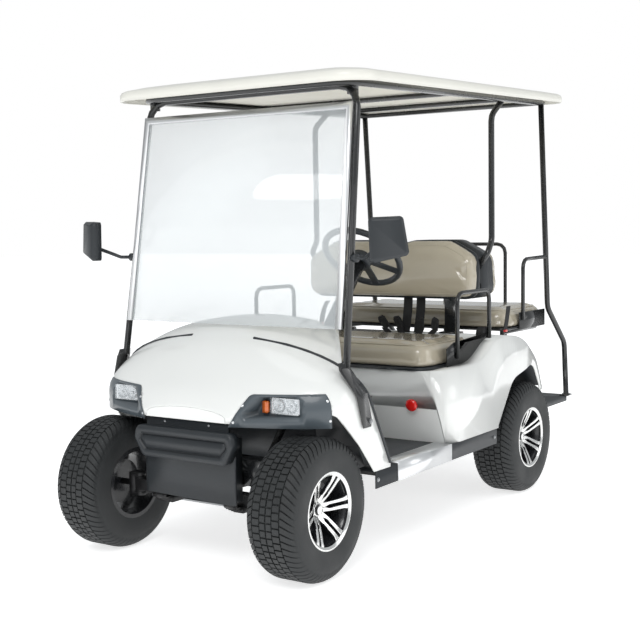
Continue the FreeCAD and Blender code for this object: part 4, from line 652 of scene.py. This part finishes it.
def fasteners(name, node, spots, direction, radius, look, outward=False):
    """Domed screws with washers where rays from outside meet a node."""
    tree = surface_of(node)
    shapes = []
    for spot in spots:
        aim = Vector((-math.copysign(1, spot.x), 0, 0)) if outward else Vector(direction)
        hit, normal = tree.ray_cast(spot - aim * 0.4, aim)[:2]
        if hit:
            profile = [(-0.001, 1.3 * radius), (0.2 * radius, 1.3 * radius), (0.3 * radius, radius),
                       (0.65 * radius, 0.92 * radius), (0.85 * radius, 0.55 * radius)]
            shapes.append(turned_form(hit, normal if normal.dot(aim) < 0 else -normal, profile, 12))
    points, faces, _ = joined(shapes)
    make_piece(name, "cart", [look], points, faces, slot=node_slot(node))


def node_slot(node):
    """The record's slot of a node."""
    return next(part["material_slot"] for part in frame["record"]["subparts"] if part["node"] == node)


def all_fasteners():
    fasteners("bracket_bolts", "roof_frame", both([(0.62, -0.926, 0.668), (0.62, -0.826, 0.549)]), None,
              0.0075, "steel", True)
    fasteners("rocker_bolts", "rocker_panels", both([(0.62, -0.765, 0.320), (0.62, 0.231, 0.320)]), None,
              0.0065, "steel", True)
    fasteners("bezel_screws", "headlamp_bezels",
              both([(0.216, -1.2, 0.561), (0.243, -1.2, 0.620), (0.534, -1.2, 0.570), (0.524, -1.2, 0.640)]),
              (0, 1, 0), 0.0038, "bright_aluminium")
    fasteners("band_screws", "front_bumper", both([(0.105, -1.4, 0.540)]), (0, 1, 0), 0.0035, "steel")
    fasteners("foot_bolts", "roof_struts", both([(0.484, 1.28, 0.5), (0.516, 1.28, 0.5)]), (0, 0, -1),
              0.006, "steel")


def pod_front():
    """The seat pod's lower front wall, which leans back and meets the round corners."""
    points = []
    for row in range(POD_WALL_ROWS):
        z = POD_FOOT[1] + (POD_WALL_TOP - POD_FOOT[1]) * row / (POD_WALL_ROWS - 1)
        share = (z - POD_FOOT[1]) / (POD_HEAD[1] - POD_FOOT[1])
        y = POD_FOOT[0] + (POD_HEAD[0] - POD_FOOT[0]) * share + WALL_SET_BACK
        half = POD_CORNER[0] + math.sqrt(POD_CORNER_RADIUS ** 2 - (POD_CORNER[1] - y) ** 2)
        points += [Vector((-half, y, z)), Vector((half, y, z)),
                   Vector((half - WALL_SKIN, y + WALL_SKIN, z)), Vector((WALL_SKIN - half, y + WALL_SKIN, z))]
    make_piece("pod_front_wall", "cart", ["body_paint"], points, capped_faces(POD_WALL_ROWS, 4))


def nose_wall():
    """The upright wall that closes the hood above the bumper's band."""
    outline = [(-NOSE_HALF_WIDTH, NOSE_BASE), (NOSE_HALF_WIDTH, NOSE_BASE)]
    for step in range(NOSE_STEPS + 1):
        angle = math.pi * step / NOSE_STEPS
        outline.append((NOSE_HALF_WIDTH * math.cos(angle), NOSE_SIDE + NOSE_RISE * math.sin(angle)))
    points = [Vector((x, NOSE_Y + depth, z)) for depth in (WALL_SET_BACK, WALL_SKIN) for x, z in outline]
    make_piece("nose_wall", "cart", ["body_paint"], points, capped_faces(2, len(outline)))


def door_edges():
    """The black rubber strip along each door edge of the cowl."""
    foot, head = Vector((-0.680, 0.372)), Vector((-0.930, 0.842))
    for side, word in ((1, "left"), (-1, "right")):
        route = []
        for step in range(25):
            y, z = foot.lerp(head, step / 24)
            route.append(Vector((side * 0.40, y - 0.004, z)))
        piping("door_edge_" + word, "cart", frame["nodes"]["front_cowl"], route, Vector((-side, 0, 0)),
               look="black_plastic", radius=0.0055, closed=False)


def headlamps():
    """A silver tray with two bowls in each lamp, behind a clear front."""
    low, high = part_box("headlamp_lenses")
    for side, word in ((1, "left"), (-1, "right")):
        middle = side * (LAMP_INNER_X + high.x) / 2
        half = (high.x - LAMP_INNER_X) / 2
        centre_z = (low.z + high.z) / 2
        half_z = (high.z - low.z) / 2
        face = Matrix.Translation((middle, low.y + 0.001, centre_z)) @ Matrix.Rotation(math.radians(90), 4, "X")
        tray = rounded_block(Matrix.Translation((0, high.y - low.y - 0.003, 0)) @ face,
                             (2 * half - 0.002, 2 * half_z - 0.002, 0.003), 0.006, 0.0005)
        bowls = []
        for shift in (-0.42, 0.42):
            base = Vector((middle + shift * half, high.y - 0.0012, centre_z))
            bowl = [(0.0, 0.006), (0.0014, 0.014), (0.0050, 0.0225), (0.0056, 0.0245), (0.0020, 0.0250),
                    (-0.0004, 0.0250)]
            bowls.append(turned_form(base, (0, -1, 0), bowl, 32))
            bowls.append(turned_form(base, (0, -1, 0), [(0.0, 0.007), (0.005, 0.0065), (0.0065, 0.003)], 16))
        points, faces, _ = joined([tray] + bowls)
        make_piece("lamp_tray_" + word, "cart", ["lamp_silver"], points, faces, slot="lamp_glass")
        glass = rounded_block(face, (2 * half - 0.001, 2 * half_z - 0.001, 0.002), 0.006, 0.0004)
        clear = make_piece("lamp_glass_" + word, "cart", ["lamp_glass"], *glass)
        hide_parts("headlamp_lenses")


def mirror_glasses():
    """The silvered glass in the driver's side of each mirror."""
    for side, word in ((1, "left"), (-1, "right")):
        outline = filleted([(-0.048, -0.072, 0.010), (0.070, -0.046, 0.010), (0.051, 0.070, 0.010),
                            (-0.053, 0.067, 0.010)])
        turn = Matrix.Rotation(math.radians(MIRROR_TURN), 4, "Z")
        place = Matrix.Translation(MIRROR_CENTRE) @ turn
        points = []
        for depth in (0.0192, 0.0210):
            points += [place @ Vector((x, depth, z)) for x, z in outline]
        points = [Vector((side * point.x, point.y, point.z)) for point in points]
        make_piece("mirror_glass_" + word, "cart", ["mirror_glass"], points, capped_faces(2, len(outline)),
                   slot="black_plastic")


def buckle(place):
    """A belt buckle: a rounded case with a raised mouth."""
    return [rounded_block(place, (0.034, 0.020, 0.058), 0.005, 0.003),
            rounded_block(place @ Matrix.Translation((0, 0, 0.030)), (0.027, 0.014, 0.010), 0.003, 0.001)]


def belts():
    """Hanging straps, buckles on short stalks between the seats, and a reel at each side."""
    across = Vector((1, 0, 0))
    shapes = []
    for x, lean in ((0.015, -0.04), (0.075, -0.02), (0.140, 0.03), (0.195, 0.05)):
        top = (x + lean, 0.322, 0.775)
        shapes.append(ribbon(bowed((x, 0.348, 0.700), (x, 0.325, 0.735), top), across, 0.036, 0.003))
        tilt = Matrix.Rotation(lean * 9, 4, "Y") @ Matrix.Rotation(math.radians(28), 4, "X")
        shapes += buckle(Matrix.Translation((top[0], 0.318, 0.800)) @ tilt)
    for x in (0.080, 0.148):
        shapes.append(ribbon(bowed((x, 0.366, 0.930), (x + 0.010, 0.350, 0.850), (x - 0.012, 0.352, 0.745)),
                             across, 0.046, 0.003))
    for side in (-1, 1):
        shapes.append(turned_form((side * 0.478, 0.292, 0.768), (side, 0, 0),
                                  [(0.0, 0.026), (0.003, 0.031), (0.036, 0.031), (0.040, 0.024)], 32))
        shapes.append(ribbon(bowed((side * 0.502, 0.560, 0.875), (side * 0.512, 0.530, 0.840),
                                   (side * 0.508, 0.512, 0.770)), Vector((0, 1, 0)), 0.040, 0.003))
    points, faces, _ = joined(shapes)
    piece = make_piece("belt_set", "cart", ["belt_black"], points, faces)
    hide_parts("seat_belts")
    buttons = [rounded_block(Matrix.Translation((side * 0.509, 0.512, 0.764)), (0.012, 0.024, 0.010), 0.003, 0.001)
               for side in (-1, 1)]
    points, faces, _ = joined(buttons)
    make_piece("belt_buttons", "cart", ["red_plastic"], points, faces)


# Stage

def make_floor():
    size = FLOOR_HALF
    mesh = bpy.data.meshes.new("floor")
    corners = [(-size, -size, 0), (size, -size, 0), (size, size, 0), (-size, size, 0)]
    mesh.from_pydata(corners, [], [(0, 1, 2, 3)])
    mesh.materials.append(finishes["floor"])
    shader = finishes["floor"].node_tree.nodes["Principled BSDF"]
    shader.inputs["Emission Color"].default_value = (1, 1, 1, 1)
    shader.inputs["Emission Strength"].default_value = FLOOR_GLOW
    add_object("floor", mesh)


def make_light(name, place, target, size, power):
    lamp = bpy.data.lights.new(name, "AREA")
    lamp.shape = "DISK"
    lamp.size = size
    lamp.energy = power
    thing = add_object(name, lamp)
    thing.location = place
    thing.rotation_euler = (Vector(target) - Vector(place)).to_track_quat("-Z", "Y").to_euler()


def make_lights():
    world = bpy.data.worlds.new("studio")
    bpy.context.scene.world = world
    world.use_nodes = True
    tree = world.node_tree
    backdrop = tree.nodes["Background"]
    backdrop.inputs["Color"].default_value = (1, 1, 1, 1)
    backdrop.inputs["Strength"].default_value = 1.0
    ambient = node_of(tree, "ShaderNodeBackground", Color=(0.95, 0.98, 1.0, 1.0), Strength=AMBIENT)
    seen = tree.nodes.new("ShaderNodeLightPath")
    mix = tree.nodes.new("ShaderNodeMixShader")
    tree.links.new(seen.outputs["Is Camera Ray"], mix.inputs[0])
    tree.links.new(ambient.outputs[0], mix.inputs[1])
    tree.links.new(backdrop.outputs[0], mix.inputs[2])
    tree.links.new(mix.outputs[0], tree.nodes["World Output"].inputs["Surface"])
    make_light("key", (2.6, -5.5, 5.2), (0, -0.2, 0.7), 3.0, 150)
    make_light("side", (6.0, 1.5, 3.0), (0, 0.2, 0.7), 3.5, 45)
    make_light("top", (0, 0, 6.0), (0, 0, 0), 5.0, 45)


def make_camera():
    """The photographer's place, looking a little down at the cart's front left corner."""
    yaw, pitch, roll = [math.radians(angle) for angle in (CAMERA_YAW, CAMERA_PITCH, CAMERA_ROLL)]
    forward = Vector((-math.sin(yaw) * math.cos(pitch), math.cos(yaw) * math.cos(pitch), -math.sin(pitch)))
    level = Vector((math.cos(yaw), math.sin(yaw), 0))
    upright = level.cross(forward)
    right = math.cos(roll) * level + math.sin(roll) * upright
    up = math.cos(roll) * upright - math.sin(roll) * level
    lens = bpy.data.cameras.new("camera")
    lens.lens = CAMERA_LENS
    lens.sensor_width = SENSOR_WIDTH
    lens.clip_end = VIEW_REACH
    camera = add_object("camera", lens)
    turn = Matrix((right, up, -forward)).transposed().to_4x4()
    camera.matrix_world = Matrix.Translation(CAMERA_PLACE) @ turn
    bpy.context.scene.camera = camera


# Dressing the frame

def dress_nodes():
    """Gives every carried-over node its material, and shades its curved faces smoothly."""
    slots = {part["node"]: part["material_slot"] for part in frame["record"]["subparts"]}
    for name, node in frame["nodes"].items():
        node.data.materials.clear()
        node.data.materials.append(finishes[slots[name]])
        weld = node.modifiers.new("weld", "WELD")
        weld.merge_threshold = WELD_DISTANCE
        shade(node.data, NODE_ANGLE)
    bezels = frame["nodes"]["headlamp_bezels"].data
    bezels.materials.clear()
    bezels.materials.append(finishes["slate"])


def main():
    dress_nodes()
    for place, turn in WHEEL_TURNS.items():
        tyre(place)
        rim(place, turn)
    backrest("front_back", -1, 0.348, 0.370)
    backrest("rear_back", 1, 0.527, 0.491)
    seat_cushion("front_cushion", "seat_lid", "front_seat_cushion", 0.070)
    seat_cushion("rear_cushion", "cart", "rear_seat_cushion", 0.070)
    pod_front()
    nose_wall()
    door_edges()
    headlamps()
    mirror_glasses()
    belts()
    all_fasteners()
    make_floor()
    make_lights()
    make_camera()
    bpy.context.scene.view_settings.view_transform = "Standard"


main()
